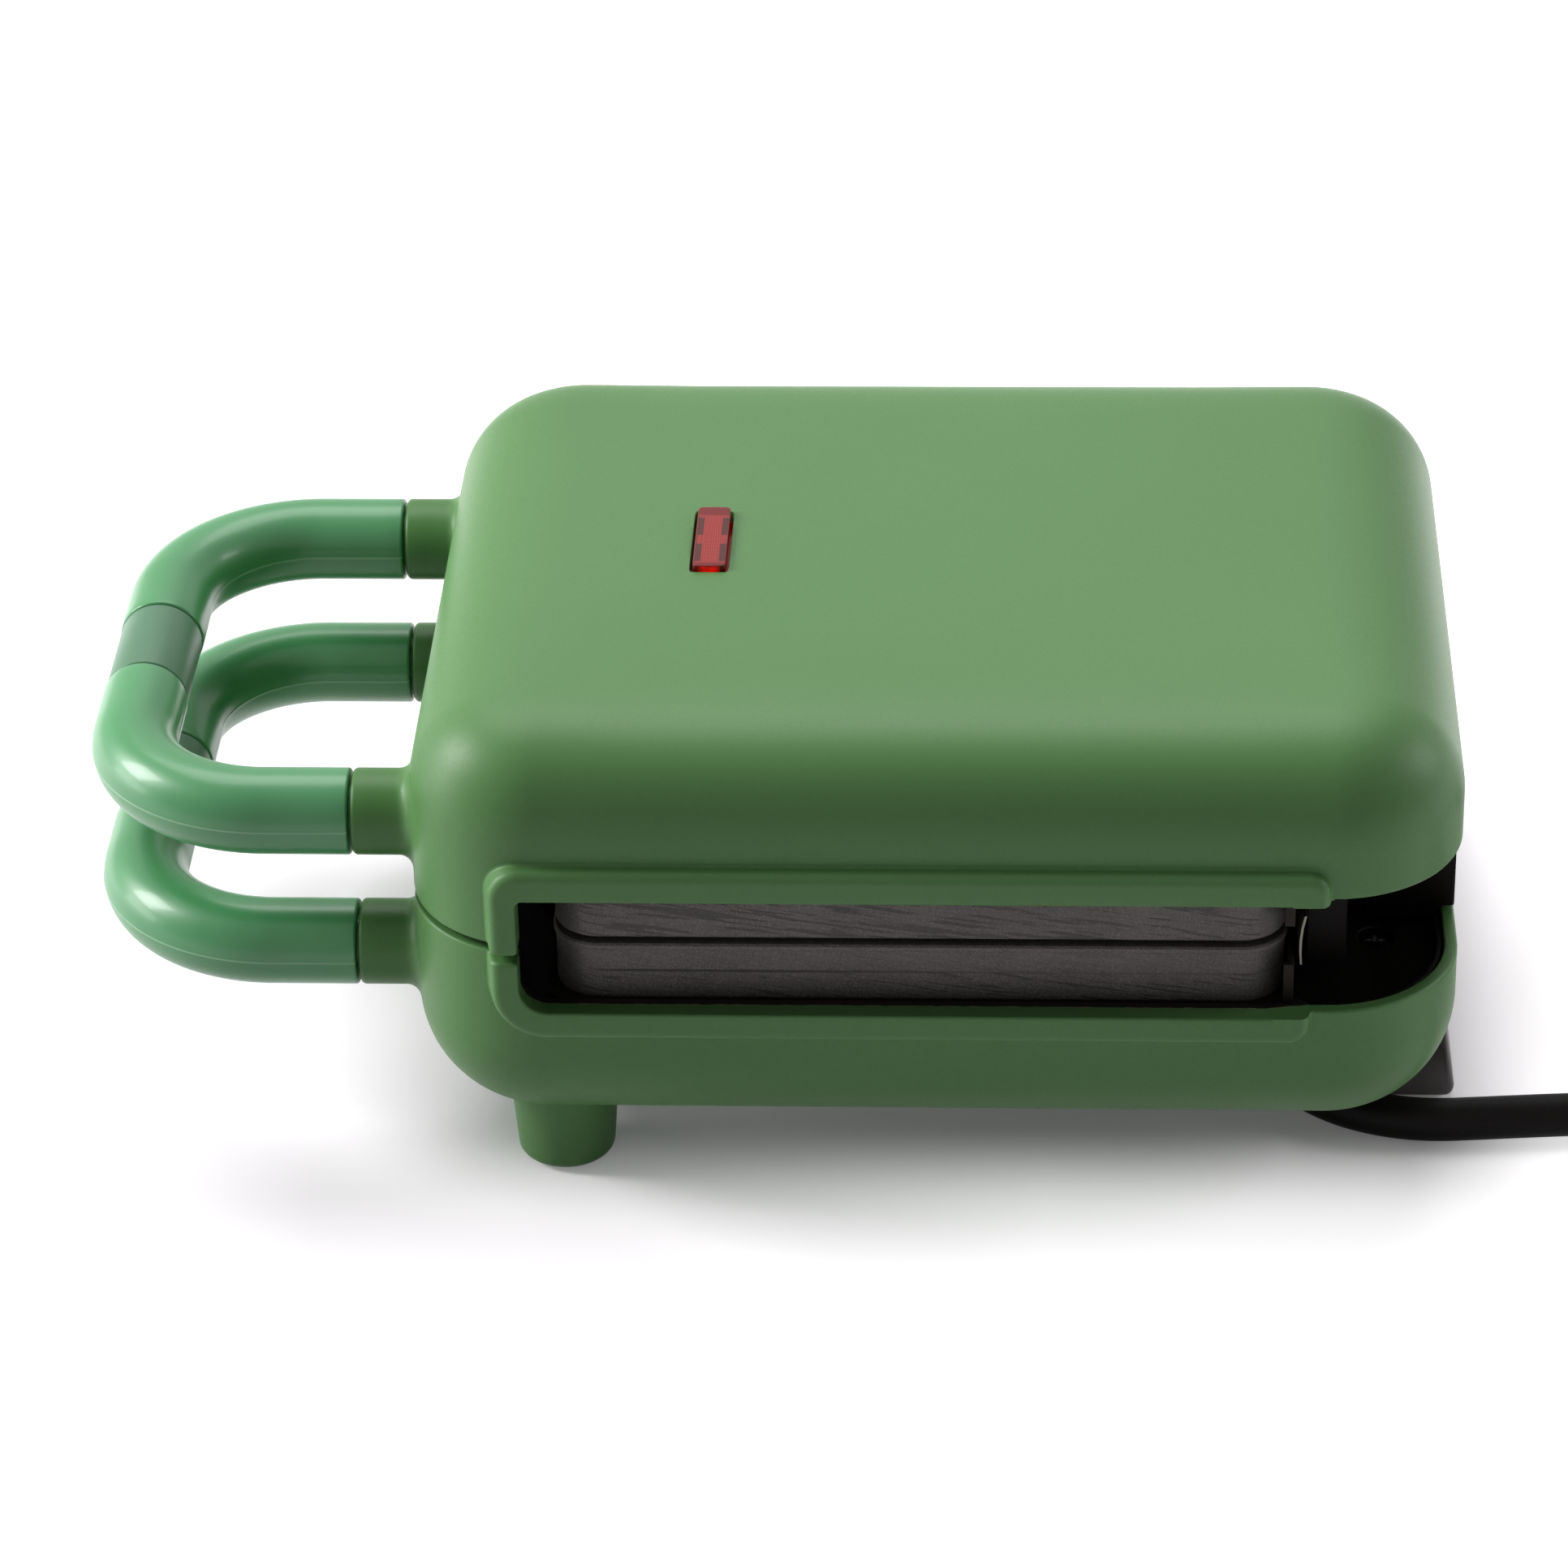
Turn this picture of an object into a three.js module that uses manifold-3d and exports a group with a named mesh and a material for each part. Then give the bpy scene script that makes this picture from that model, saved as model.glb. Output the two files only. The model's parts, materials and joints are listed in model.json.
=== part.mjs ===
// Countertop snack maker with a hinged lid and tubular handles.
// Millimetres, +Z up. X runs from the handles (-X) to the hinge (+X), the shown long side faces -Y.
// Sizes below are in the body's own frame: X from the middle of the body, Z from the parting plane.

import * as THREE from 'three';
import { mergeVertices } from 'three/addons/utils/BufferGeometryUtils.js';
import Module from 'manifold-3d';

const wasm = await Module();
wasm.setup();

// Fits shared by every piece
const clearance = 0.3;
const overrun = 6;
const mergeDistance = 0.0001;

// Body shells
const bodyLength = 184;
const bodyWidth = 153;
const planCorner = 23.6;
const wall = 2.3;
const leastCorner = 1;
const lidHeight = 39.5;
const lidEdgeRound = 18.8;
const baseDepth = 41.8;
const baseEdgeRound = 21.4;
const partingGap = 0.7;

// Cut-away between the halves, along both long sides and round the hinge end
const windowInset = 20.2;
const lidEdgeHeight = 11.7;
const baseEdgeDepth = 11;
const lidWindowCorner = 1.2;
const baseWindowCorner = 5;

// Raised rims round the cut-away
const rimProud = 2.7;
const rimBand = 5.5;
const rimEdgeRound = 2.5;
const lidRimInset = 24;
const baseRimInset = 27;
const lidRimTopBand = 6;
const lidRimCorner = 5.5;
const baseRimCorner = 9.5;
const rimEndCorner = 3.6;

// Handles
const tubeRadius = 7.7;
const legSpread = 50;
const crossbarReach = 52.6;
const bendRadius = 26.2;
const lidHandleHeight = 12.4;
const baseHandleDepth = 14.7;
const collarLength = 10.5;
const collarLipRound = 0.8;
const collarRoot = 2.2;
const socketDepth = 8.4;
const spigotRadius = 5;
const handleSeam = 0.4;
const sleeveHalf = 10.9;
const sleeveInset = 0.2;
const sleeveBore = 4.6;

// Cooking plates, the same in both halves
const plateStartGap = 5.6;
const plateEndGap = 3.8;
const plateSideGap = 1.8;
const plateCorner = 8;
const plateFace = 0.5;
const plateDepth = 11.6;
const plateLedge = 0.4;
const plateLedgeDepth = 1.3;
const plateRim = 9;
const recessDepth = 7;
const recessRound = 4;
const plateFloor = 2.8;
const plateSkirt = 3.6;

// Heat shield pans behind the plates
const sheet = 0.8;
const panFlange = 1.3;
const panMargin = 5;
const panDepth = 7.2;
const panUpstand = 8.5;
const panReturn = 1.8;

// Heating elements
const heaterRadius = 3.2;
const heaterSideGap = 34.4;
const heaterEndGap = 18.65;
const heaterBend = 20;

// Liners that carry the plates
const linerThickness = 2.5;
const linerGap = 0.4;
const lipHeight = 1.4;
const lipWidth = 1;
const bulkheadHingeGap = 12.1;
const bulkheadThickness = 7;
const bulkheadSideGap = 10.6;
const bulkheadReach = 9.5;
const bulkheadWall = 1.8;
const screwCupRadius = 5;
const screwCupDepth = 5;

// Hinge
const hingeInset = 8;
const hingeHeight = 0.8;
const knuckleRadius = 8;
const hingeCornerGap = 9.9;
const middleKnuckleHalf = 20.5;
const knuckleGap = 0.5;
const pinRadius = 2.5;
const pinCover = 1.7;
const hingeScrewSpread = 14;

// Screws
const screwHeadRadius = 3.1;
const screwHeadHeight = 1.6;
const screwRadius = 1.6;
const screwLength = 10;
const screwCrownShare = 0.7;
const screwAccess = 2;
const postRadius = 3.6;
const bottomPostHeight = 12;
const screwHingeGap = 6.1;
const screwKnuckleGap = 5.8;
const handleScrewInset = 13;
const handleScrewSpread = 26;

// Bright spring strip beside the lid plate
const springSheet = 0.5;
const springHeight = 10;
const springDrop = 6;
const springBow = 0.6;
const springSideGap = 4.2;

// Lamp
const lampInset = 50.8;
const lampHoleLength = 7;
const lampHoleWidth = 22.8;
const lampCorner = 1;
const lensGap = 0.55;
const lensProud = 1.1;
const lensFlange = 2;
const lensFlangeHeight = 1.2;
const lampHolderDepth = 7;
const lampHolderWall = 1.4;
const neonRadius = 1.6;
const neonLength = 18;

// Feet and stand
const footClear = 11.8;
const footInset = 25.5;
const footSideInset = 18.4;
const footTopRadius = 9.9;
const footBottomRadius = 8.7;
const footEdgeRound = 1.6;
const footTop = 6;
const padRadius = 6.4;
const padThickness = 1.6;
const padProud = 0.5;
const standLength = 21;
const standOverhang = 1.8;
const standHalf = 41;
const standTop = 15.5;
const standShoulder = 3.4;
const standRound = 2.2;
const standScrewInset = 10;
const standScrewSpread = 18;
const standPadLength = 12;
const standPadWidth = 8;
const standPadInset = 8;
const standPadSideInset = 9;
const outletLength = 22;
const outletWidth = 20;

// Inner electrical pieces
const thermostatRadius = 8;
const thermostatHeight = 9;
const thermostatStepShare = 0.6;
const thermostatCapShare = 0.8;
const fuseRadius = 2.2;
const fuseLength = 14;
const fuseShift = 24.55;
const fuseSpread = 20;
const terminalLength = 34;
const terminalWidth = 16;
const terminalHeight = 11;
const terminalShift = 30.55;
const terminalCell = 4;
const terminalCellCount = 3;

// Supply lead
const cordDiameter = 7.8;
const cordStep = 15.6;
const glandInset = 9;
const glandLength = 25;
const glandHeadroom = 0.7;
const glandTaper = 0.8;
const glandFlange = 2;
const coilTurnCount = 3.25;
const coilReach = 120;
const coilMeanRadius = 44;
const coilTurnGap = 1;
const coilLayerGap = 0.8;
const coilClimbShare = 0.5;
const plugRadius = 18;
const plugDepth = 20;
const plugTail = 16;
const plugNeck = 6.4;
const plugRise = 46;
const plugLevelShare = 0.8;
const plugTipShare = 0.8;
const plugNeckShare = 0.5;
const plugShoulderShare = 0.8;
const plugFaceShare = 0.3;
const plugPinRadius = 2.4;
const plugPinLength = 19;
const plugPinSpread = 9.5;
const earthWidth = 6;
const earthDepth = 15;
const earthSheet = 0.6;
const earthInset = 1.75;

// Facet counts, which are not sizes
const counts = {
  cornerFacets: 4,
  innerFacets: 3,
  roundFacets: 5,
  rimFacets: 3,
  lampFacets: 1,
  tubeSides: 16,
  tubeSteps: 14,
  rootFacets: 3,
  smallSides: 12,
  pilotSides: 8,
  screwSides: 8,
  roundSides: 20,
  heaterSteps: 22,
  knuckleFacets: 8,
  cordSides: 10,
  coilSteps: 24,
  coilSides: 6,
  coilSamples: 60,
};
const shownFacets = { corner: counts.cornerFacets, round: counts.roundFacets };
const hiddenFacets = { corner: 3, round: 3 };

// Places worked out from the sizes above
const halfLength = bodyLength / 2;
const halfWidth = bodyWidth / 2;
const tubeCentreX = -(halfLength + crossbarReach);
const hingeX = halfLength - hingeInset;
const floorDepth = baseDepth + footClear;
const windowStart = windowInset - halfLength;
const hingeHalf = halfWidth - planCorner - hingeCornerGap;
const outerHingeScrewSpread = (middleKnuckleHalf + knuckleGap + hingeHalf) / 2;
const bulkheadEnd = hingeX - bulkheadHingeGap;
const bulkheadStart = bulkheadEnd - bulkheadThickness;
const bulkheadHalf = halfWidth - wall - bulkheadSideGap;
const plateStart = windowStart + plateStartGap;
const plateEnd = bulkheadStart - plateEndGap;
const plateLength = plateEnd - plateStart;
const plateCentre = (plateStart + plateEnd) / 2;
const plateWidth = bodyWidth - 2 * (wall + plateSideGap);
const heaterHalfSpread = plateWidth / 2 - heaterSideGap;
const heaterLeg = plateLength - 2 * heaterEndGap - heaterBend;
const springHalf = halfWidth - wall - springSideGap;
const lampX = lampInset - halfLength;
const footX = footInset - halfLength;
const footY = halfWidth - footSideInset;
const standStart = halfLength - standLength;
const standScrewX = halfLength - standScrewInset;
const standPadX = halfLength - standPadInset;
const standPadY = standHalf - standPadSideInset;
const outletStart = standStart - outletLength;
const outletFar = standHalf;
const outletNear = outletFar - outletWidth;
const glandX = outletStart + glandInset;
const glandRootRadius = (footClear - clearance - glandHeadroom) / 2;
const glandTipRadius = glandRootRadius - glandTaper;
const coilPitch = cordDiameter + coilTurnGap;
const coilRise = cordDiameter + coilLayerGap;

// Joins and cuts
function solid(geometry) {
  const bare = geometry.clone();
  bare.deleteAttribute('normal');
  bare.deleteAttribute('uv');
  const merged = mergeVertices(bare, mergeDistance);
  return new wasm.Manifold(new wasm.Mesh({
    numProp: 3,
    vertProperties: new Float32Array(merged.attributes.position.array),
    triVerts: new Uint32Array(merged.index.array),
  }));
}

function geometryOf(body) {
  const mesh = body.getMesh();
  const geometry = new THREE.BufferGeometry();
  geometry.setAttribute('position', new THREE.BufferAttribute(new Float32Array(mesh.vertProperties), 3));
  geometry.setIndex(new THREE.BufferAttribute(new Uint32Array(mesh.triVerts), 1));
  geometry.computeVertexNormals();
  return geometry;
}

function union(bodies) {
  return bodies.reduce((whole, body) => whole.add(body));
}

function cut(body, tools) {
  return tools.reduce((rest, tool) => rest.subtract(tool), body);
}

// Basic forms
function box(x1, x2, y1, y2, z1, z2) {
  const geometry = new THREE.BoxGeometry(x2 - x1, y2 - y1, z2 - z1);
  return solid(geometry.translate((x1 + x2) / 2, (y1 + y2) / 2, (z1 + z2) / 2));
}

// Rounded rectangle seen from above, about (centreX, 0)
function planShape(length, width, radius, centreX = 0) {
  const x = length / 2 - radius;
  const y = width / 2 - radius;
  const shape = new THREE.Shape();
  shape.absarc(centreX + x, y, radius, 0, Math.PI / 2);
  shape.absarc(centreX - x, y, radius, Math.PI / 2, Math.PI);
  shape.absarc(centreX - x, -y, radius, Math.PI, 1.5 * Math.PI);
  shape.absarc(centreX + x, -y, radius, 1.5 * Math.PI, 2 * Math.PI);
  return shape;
}

function slab(shape, z1, z2, curveSegments = counts.innerFacets) {
  const geometry = new THREE.ExtrudeGeometry(shape, { depth: z2 - z1, bevelEnabled: false, curveSegments });
  return solid(geometry.translate(0, 0, z1));
}

// Edge rounding that a plan corner leaves room for
function fillet(round, corner) {
  return Math.min(round, corner - leastCorner);
}

// A block standing on a plan outline, with its top edge rounded; its foot lies below z = 0
function bowl(length, width, corner, height, round, facets = shownFacets) {
  const edge = fillet(round, corner);
  const geometry = new THREE.ExtrudeGeometry(planShape(length, width, corner), {
    depth: height - edge + overrun,
    bevelEnabled: true,
    bevelThickness: edge,
    bevelSize: edge,
    bevelOffset: -edge,
    bevelSegments: facets.round,
    curveSegments: facets.corner,
  });
  return solid(geometry.translate(0, 0, -overrun));
}

// An outline drawn in X and Z, run along Y from y1 to y2, with both end edges rounded if asked
function prism(shape, y1, y2, round = 0, curveSegments = counts.cornerFacets) {
  const geometry = new THREE.ExtrudeGeometry(shape, {
    depth: y2 - y1 - 2 * round,
    bevelEnabled: round > 0,
    bevelThickness: round,
    bevelSize: round,
    bevelOffset: -round,
    bevelSegments: counts.rimFacets,
    curveSegments,
  });
  return solid(geometry.rotateX(Math.PI / 2).translate(0, y2 - round, 0));
}

// A profile of [radius, height] points turned about Z
function turned(points, sides = counts.smallSides) {
  const profile = points.map(([r, z]) => new THREE.Vector2(r, z));
  return new THREE.LatheGeometry(profile, sides).rotateX(Math.PI / 2);
}

function rod(radius, z1, z2, x, y, sides = counts.smallSides) {
  const profile = [[0, z1], [radius, z1], [radius, z2], [0, z2]];
  return solid(turned(profile, sides).translate(x, y, 0));
}

// The same rod lying along X or along Y
function rodX(radius, x1, x2, y, z, sides = counts.smallSides) {
  const profile = [[0, x1], [radius, x1], [radius, x2], [0, x2]];
  return solid(turned(profile, sides).rotateY(Math.PI / 2).translate(0, y, z));
}

function rodY(radius, y1, y2, x, z, sides = counts.smallSides) {
  const profile = [[0, y1], [radius, y1], [radius, y2], [0, y2]];
  return solid(turned(profile, sides).rotateX(-Math.PI / 2).translate(x, 0, z));
}

function circle(radius) {
  const shape = new THREE.Shape();
  shape.absarc(0, 0, radius, 0, 2 * Math.PI);
  return shape;
}

function sweep(path, radius, sides, steps) {
  return new THREE.ExtrudeGeometry(circle(radius), { steps, curveSegments: sides / 2, extrudePath: path });
}

// Pieces of the base are drawn as the lid's are, heights away from the parting plane, and turned over
function turnOver(geometry) {
  return geometry.rotateX(Math.PI);
}

const group = new THREE.Group();
const handleTip = halfLength + crossbarReach + tubeRadius;
const standTip = halfLength + standOverhang;
group.position.set((handleTip - standTip) / 2, 0, floorDepth);

function addPiece(name, geometry, material) {
  const mesh = new THREE.Mesh(geometry, new THREE.MeshStandardMaterial(material));
  mesh.name = name;
  group.add(mesh);
}

const shellGreen = { color: 0x6f9569, roughness: 0.55, metalness: 0 };
const handleGreen = { color: 0x5f9472, roughness: 0.22, metalness: 0 };
const sleeveGreen = { color: 0x67836d, roughness: 0.5, metalness: 0 };
const linerBlack = { color: 0x14100e, roughness: 0.6, metalness: 0 };
const standBlack = { color: 0x2b2725, roughness: 0.35, metalness: 0 };
const coatedGrey = { color: 0x423e3d, roughness: 0.45, metalness: 0.3 };
const shieldBrown = { color: 0x3c332b, roughness: 0.4, metalness: 0.8 };
const steel = { color: 0xb9b9b6, roughness: 0.3, metalness: 1 };
const rubberBlack = { color: 0x1c1b1a, roughness: 0.8, metalness: 0 };
const cordBlack = { color: 0x171310, roughness: 0.5, metalness: 0 };
const lensRed = { color: 0xb03a36, roughness: 0.2, metalness: 0 };
const brass = { color: 0xb08d4a, roughness: 0.3, metalness: 1 };
const ceramicWhite = { color: 0xe3dfd6, roughness: 0.6, metalness: 0 };

// Screws: a pan head at z = 0 with the shank running down from it
function screwGeometry(length = screwLength) {
  return turned([
    [0, -screwHeadHeight - length],
    [screwRadius, -screwHeadHeight - length],
    [screwRadius, -screwHeadHeight],
    [screwHeadRadius, -screwHeadHeight],
    [screwHeadRadius, -screwHeadHeight / 2],
    [screwHeadRadius * screwCrownShare, 0],
    [0, 0],
  ], counts.screwSides);
}

// Copies of one piece, numbered from 1
function addCopies(name, geometries, material) {
  geometries.forEach((geometry, i) => addPiece(`${name}_${i + 1}`, geometry, material));
}

// Stack behind the parting plane: plate, shield flange, liner shelf and its screw cups
const plateBack = plateFace + plateDepth;
const flangeBack = plateBack + clearance + sheet;
const linerFace = flangeBack + clearance;
const linerBack = linerFace + linerThickness;
const cupBack = linerFace + screwCupDepth;
const screwSeat = linerFace + screwCupDepth - linerThickness + clearance;

// Edge rounding that leaves the wall straight as far as the liner reaches
const lidRound = Math.min(lidEdgeRound, lidHeight - linerBack - linerGap);
const baseRound = Math.min(baseEdgeRound, baseDepth - linerBack - linerGap);

// Shells: heights are measured away from the parting plane
const halves = {
  lid: {
    height: lidHeight,
    round: lidRound,
    edge: lidEdgeHeight,
    windowCorner: lidWindowCorner,
    rimBandHeight: lidRimTopBand,
    rimCorner: lidRimCorner,
    rimEnd: halfLength - lidRimInset,
    handle: lidHandleHeight,
  },
  base: {
    height: baseDepth,
    round: baseRound,
    edge: baseEdgeDepth,
    windowCorner: baseWindowCorner,
    rimBandHeight: rimBand,
    rimCorner: baseRimCorner,
    rimEnd: halfLength - baseRimInset,
    handle: baseHandleDepth,
  },
};

// Outline of the rim's outer edge, open towards the parting plane
function rimShape(half) {
  const left = windowStart - rimBand;
  const top = half.edge + half.rimBandHeight;
  const shape = new THREE.Shape();
  shape.moveTo(left, -overrun);
  shape.lineTo(half.rimEnd, -overrun);
  shape.lineTo(half.rimEnd, top - rimEndCorner);
  shape.absarc(half.rimEnd - rimEndCorner, top - rimEndCorner, rimEndCorner, 0, Math.PI / 2);
  shape.absarc(left + half.rimCorner, top - half.rimCorner, half.rimCorner, Math.PI / 2, Math.PI);
  return shape;
}

// Outline of the cut-away: from the window's start out past the hinge end
function windowShape(half) {
  const end = halfLength + overrun;
  const shape = new THREE.Shape();
  shape.moveTo(windowStart, -2 * overrun);
  shape.lineTo(end, -2 * overrun);
  shape.lineTo(end, half.edge);
  shape.absarc(windowStart + half.windowCorner, half.edge - half.windowCorner, half.windowCorner,
    Math.PI / 2, Math.PI);
  return shape;
}

function collar(half, side) {
  const start = halfLength;
  const outer = start + collarLength;
  const root = [];
  for (let i = 0; i <= counts.rootFacets; i += 1) {
    const angle = (i / counts.rootFacets) * Math.PI / 2;
    const flare = collarRoot * (1 - Math.cos(angle));
    root.push([tubeRadius + flare, start + collarRoot * (1 - Math.sin(angle))]);
  }
  const profile = [
    [0, start - wall - overrun],
    [tubeRadius + collarRoot, start - wall - overrun],
    ...root.reverse(),
    [tubeRadius, outer - collarLipRound],
    [tubeRadius - collarLipRound, outer],
    [0, outer],
  ];
  const geometry = turned(profile, counts.tubeSides).rotateY(-Math.PI / 2);
  return solid(geometry.translate(0, side * legSpread, half.handle));
}

const linerScrewPlaces = [-1, 1].flatMap((side) => [
  [hingeX - screwHingeGap, side * (hingeHalf + screwKnuckleGap)],
  [handleScrewInset - halfLength, side * handleScrewSpread],
]);

function shellSolid(half) {
  const outer = bowl(bodyLength, bodyWidth, planCorner, half.height, half.round);
  const inner = bowl(bodyLength - 2 * wall, bodyWidth - 2 * wall, planCorner - wall, half.height - wall,
    half.round - wall, hiddenFacets);
  const rimFront = halfWidth + rimProud;
  const rimBack = halfWidth - wall - overrun;
  const rims = [
    prism(rimShape(half), -rimFront, -rimBack, rimEdgeRound),
    prism(rimShape(half), rimBack, rimFront, rimEdgeRound),
  ];
  const collars = [-1, 1].map((side) => collar(half, side));
  const hollow = cut(union([outer, ...rims, ...collars]), [inner]);
  const posts = linerScrewPlaces.map(([x, y]) => (
    rod(postRadius, cupBack + clearance, half.height, x, y).intersect(outer)));
  const socketTools = [-1, 1].flatMap((side) => {
    const mouth = -(halfLength + collarLength);
    const inside = -(halfLength - wall);
    return [
      rodX(spigotRadius + clearance, mouth - overrun, mouth + socketDepth, side * legSpread, half.handle),
      rodX(screwRadius + clearance, mouth, inside + overrun, side * legSpread, half.handle),
      rodX(screwHeadRadius + clearance, inside, inside + overrun, side * legSpread, half.handle),
    ];
  });
  const pilots = linerScrewPlaces.map(([x, y]) => (
    rod(screwRadius + clearance, cupBack, cupBack + screwLength, x, y, counts.pilotSides)));
  const parting = box(-bodyLength, bodyLength, -bodyWidth, bodyWidth, -half.height, partingGap / 2);
  const window = prism(windowShape(half), -bodyWidth, bodyWidth);
  return cut(union([hollow, ...posts]), [parting, window, ...socketTools, ...pilots]);
}

function lidShell() {
  const lampHole = slab(planShape(lampHoleLength, lampHoleWidth, lampCorner, lampX),
    lidHeight - wall - overrun, lidHeight + overrun, counts.lampFacets);
  addPiece('lid_shell', geometryOf(cut(shellSolid(halves.lid), [lampHole])), shellGreen);
}

// Places where screws come up through the base shell's bottom, as [x, y]
const footScrewPlaces = [-1, 1].map((side) => [footX, side * footY]);
const standScrewPlaces = [-1, 1].map((side) => [standScrewX, side * standScrewSpread]);

// Height of the base's outside, away from the parting plane, over the plan point (x, y)
function baseOutsideAt(x, y) {
  const flatX = halfLength - planCorner;
  const flatY = halfWidth - planCorner;
  const away = Math.hypot(Math.max(Math.abs(x) - flatX, 0), Math.max(Math.abs(y) - flatY, 0));
  const round = fillet(baseRound, planCorner);
  const intoRound = Math.max(away - (planCorner - round), 0);
  return baseDepth - round + Math.sqrt(round ** 2 - intoRound ** 2);
}

function baseShell() {
  const outer = bowl(bodyLength, bodyWidth, planCorner, baseDepth, baseRound);
  const places = [...footScrewPlaces, ...standScrewPlaces];
  const posts = places.map(([x, y]) => {
    const top = baseOutsideAt(x, y);
    return rod(postRadius, top - bottomPostHeight, baseDepth, x, y).intersect(outer);
  });
  const holes = places.map(([x, y]) => {
    const top = baseOutsideAt(x, y);
    return rod(screwRadius + clearance, top - screwLength, baseDepth + overrun, x, y, counts.pilotSides);
  });
  const whole = cut(union([shellSolid(halves.base), ...posts]), holes);
  addPiece('base_shell', turnOver(geometryOf(whole)), shellGreen);
}

// Cooking plates
function plateGeometry(withLedge) {
  const body = slab(planShape(plateLength, plateWidth, plateCorner, plateCentre), plateFace, plateBack,
    counts.cornerFacets);
  const ledge = slab(planShape(plateLength + 2 * plateLedge, plateWidth + 2 * plateLedge,
    plateCorner + plateLedge, plateCentre), plateFace, plateFace + plateLedgeDepth, counts.cornerFacets);
  const recess = bowl(plateLength - 2 * plateRim, plateWidth - 2 * plateRim, plateCorner, recessDepth,
    recessRound, hiddenFacets);
  const shifted = recess.translate([plateCentre, 0, plateFace]);
  const back = slab(planShape(plateLength - 2 * plateSkirt, plateWidth - 2 * plateSkirt,
    plateCorner - plateSkirt / 2, plateCentre), plateFace + recessDepth + plateFloor, plateBack + overrun);
  const whole = withLedge ? body.add(ledge) : body;
  return geometryOf(cut(whole, [shifted, back]));
}

// Heat shield: flange, well and an upstand with short side returns at the hinge end
function reflectorGeometry() {
  const flangeLength = plateLength + 2 * panFlange;
  const flangeWidth = bodyWidth - 2 * wall - 2 * clearance - panFlange;
  const wellLength = plateLength - 2 * panMargin;
  const wellWidth = plateWidth - 2 * panMargin;
  const flangeFace = plateBack + clearance;
  const end = plateCentre + flangeLength / 2;
  const rounded = slab(planShape(flangeLength, flangeWidth, panMargin, plateCentre), flangeFace,
    flangeBack);
  const squareEnd = box(end - panReturn, end, -flangeWidth / 2, flangeWidth / 2, flangeFace, flangeBack);
  const well = slab(planShape(wellLength, wellWidth, plateCorner, plateCentre), flangeFace,
    flangeBack + panDepth);
  const hollow = slab(planShape(wellLength - 2 * sheet, wellWidth - 2 * sheet, plateCorner - sheet,
    plateCentre), flangeFace - overrun, flangeBack + panDepth - sheet);
  const upstand = box(end - panReturn, end, -flangeWidth / 2, flangeWidth / 2, flangeFace - panUpstand,
    flangeFace + sheet / 2);
  const behind = box(end - panReturn - overrun, end - sheet, sheet - flangeWidth / 2,
    flangeWidth / 2 - sheet, flangeFace - panUpstand - overrun, flangeFace);
  return geometryOf(cut(union([rounded, squareEnd, well, cut(upstand, [behind])]), [hollow]));
}

// Heating element: two straight legs joined by two bends, lying along X
class HeaterPath extends THREE.Curve {
  getPoint(share, target = new THREE.Vector3()) {
    const bend = heaterBend * Math.PI / 2;
    const across = 2 * (heaterHalfSpread - heaterBend);
    const half = heaterLeg + bend + across / 2;
    const run = Math.abs(share - 0.5) * 2 * half;
    const side = share < 0.5 ? -1 : 1;
    const turnX = plateCentre + (heaterBend - heaterLeg) / 2;
    if (run < across / 2) {
      return target.set(turnX - heaterBend, side * run, 0);
    }
    if (run < across / 2 + bend) {
      const angle = (run - across / 2) / heaterBend;
      return target.set(turnX - heaterBend * Math.cos(angle),
        side * (across / 2 + heaterBend * Math.sin(angle)), 0);
    }
    return target.set(turnX + run - across / 2 - bend, side * heaterHalfSpread, 0);
  }
}

const heaterHeight = plateFace + recessDepth + plateFloor + clearance + heaterRadius;

function heaterGeometry() {
  const tube = sweep(new HeaterPath(), heaterRadius, counts.pilotSides, counts.heaterSteps);
  return tube.translate(0, 0, heaterHeight);
}

// Liners: a shelf with a lip, a well opening and screw cups
function linerOutline(inset) {
  const gap = wall + linerGap + inset;
  return planShape(bodyLength - 2 * gap, bodyWidth - 2 * gap, planCorner - gap);
}

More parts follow.
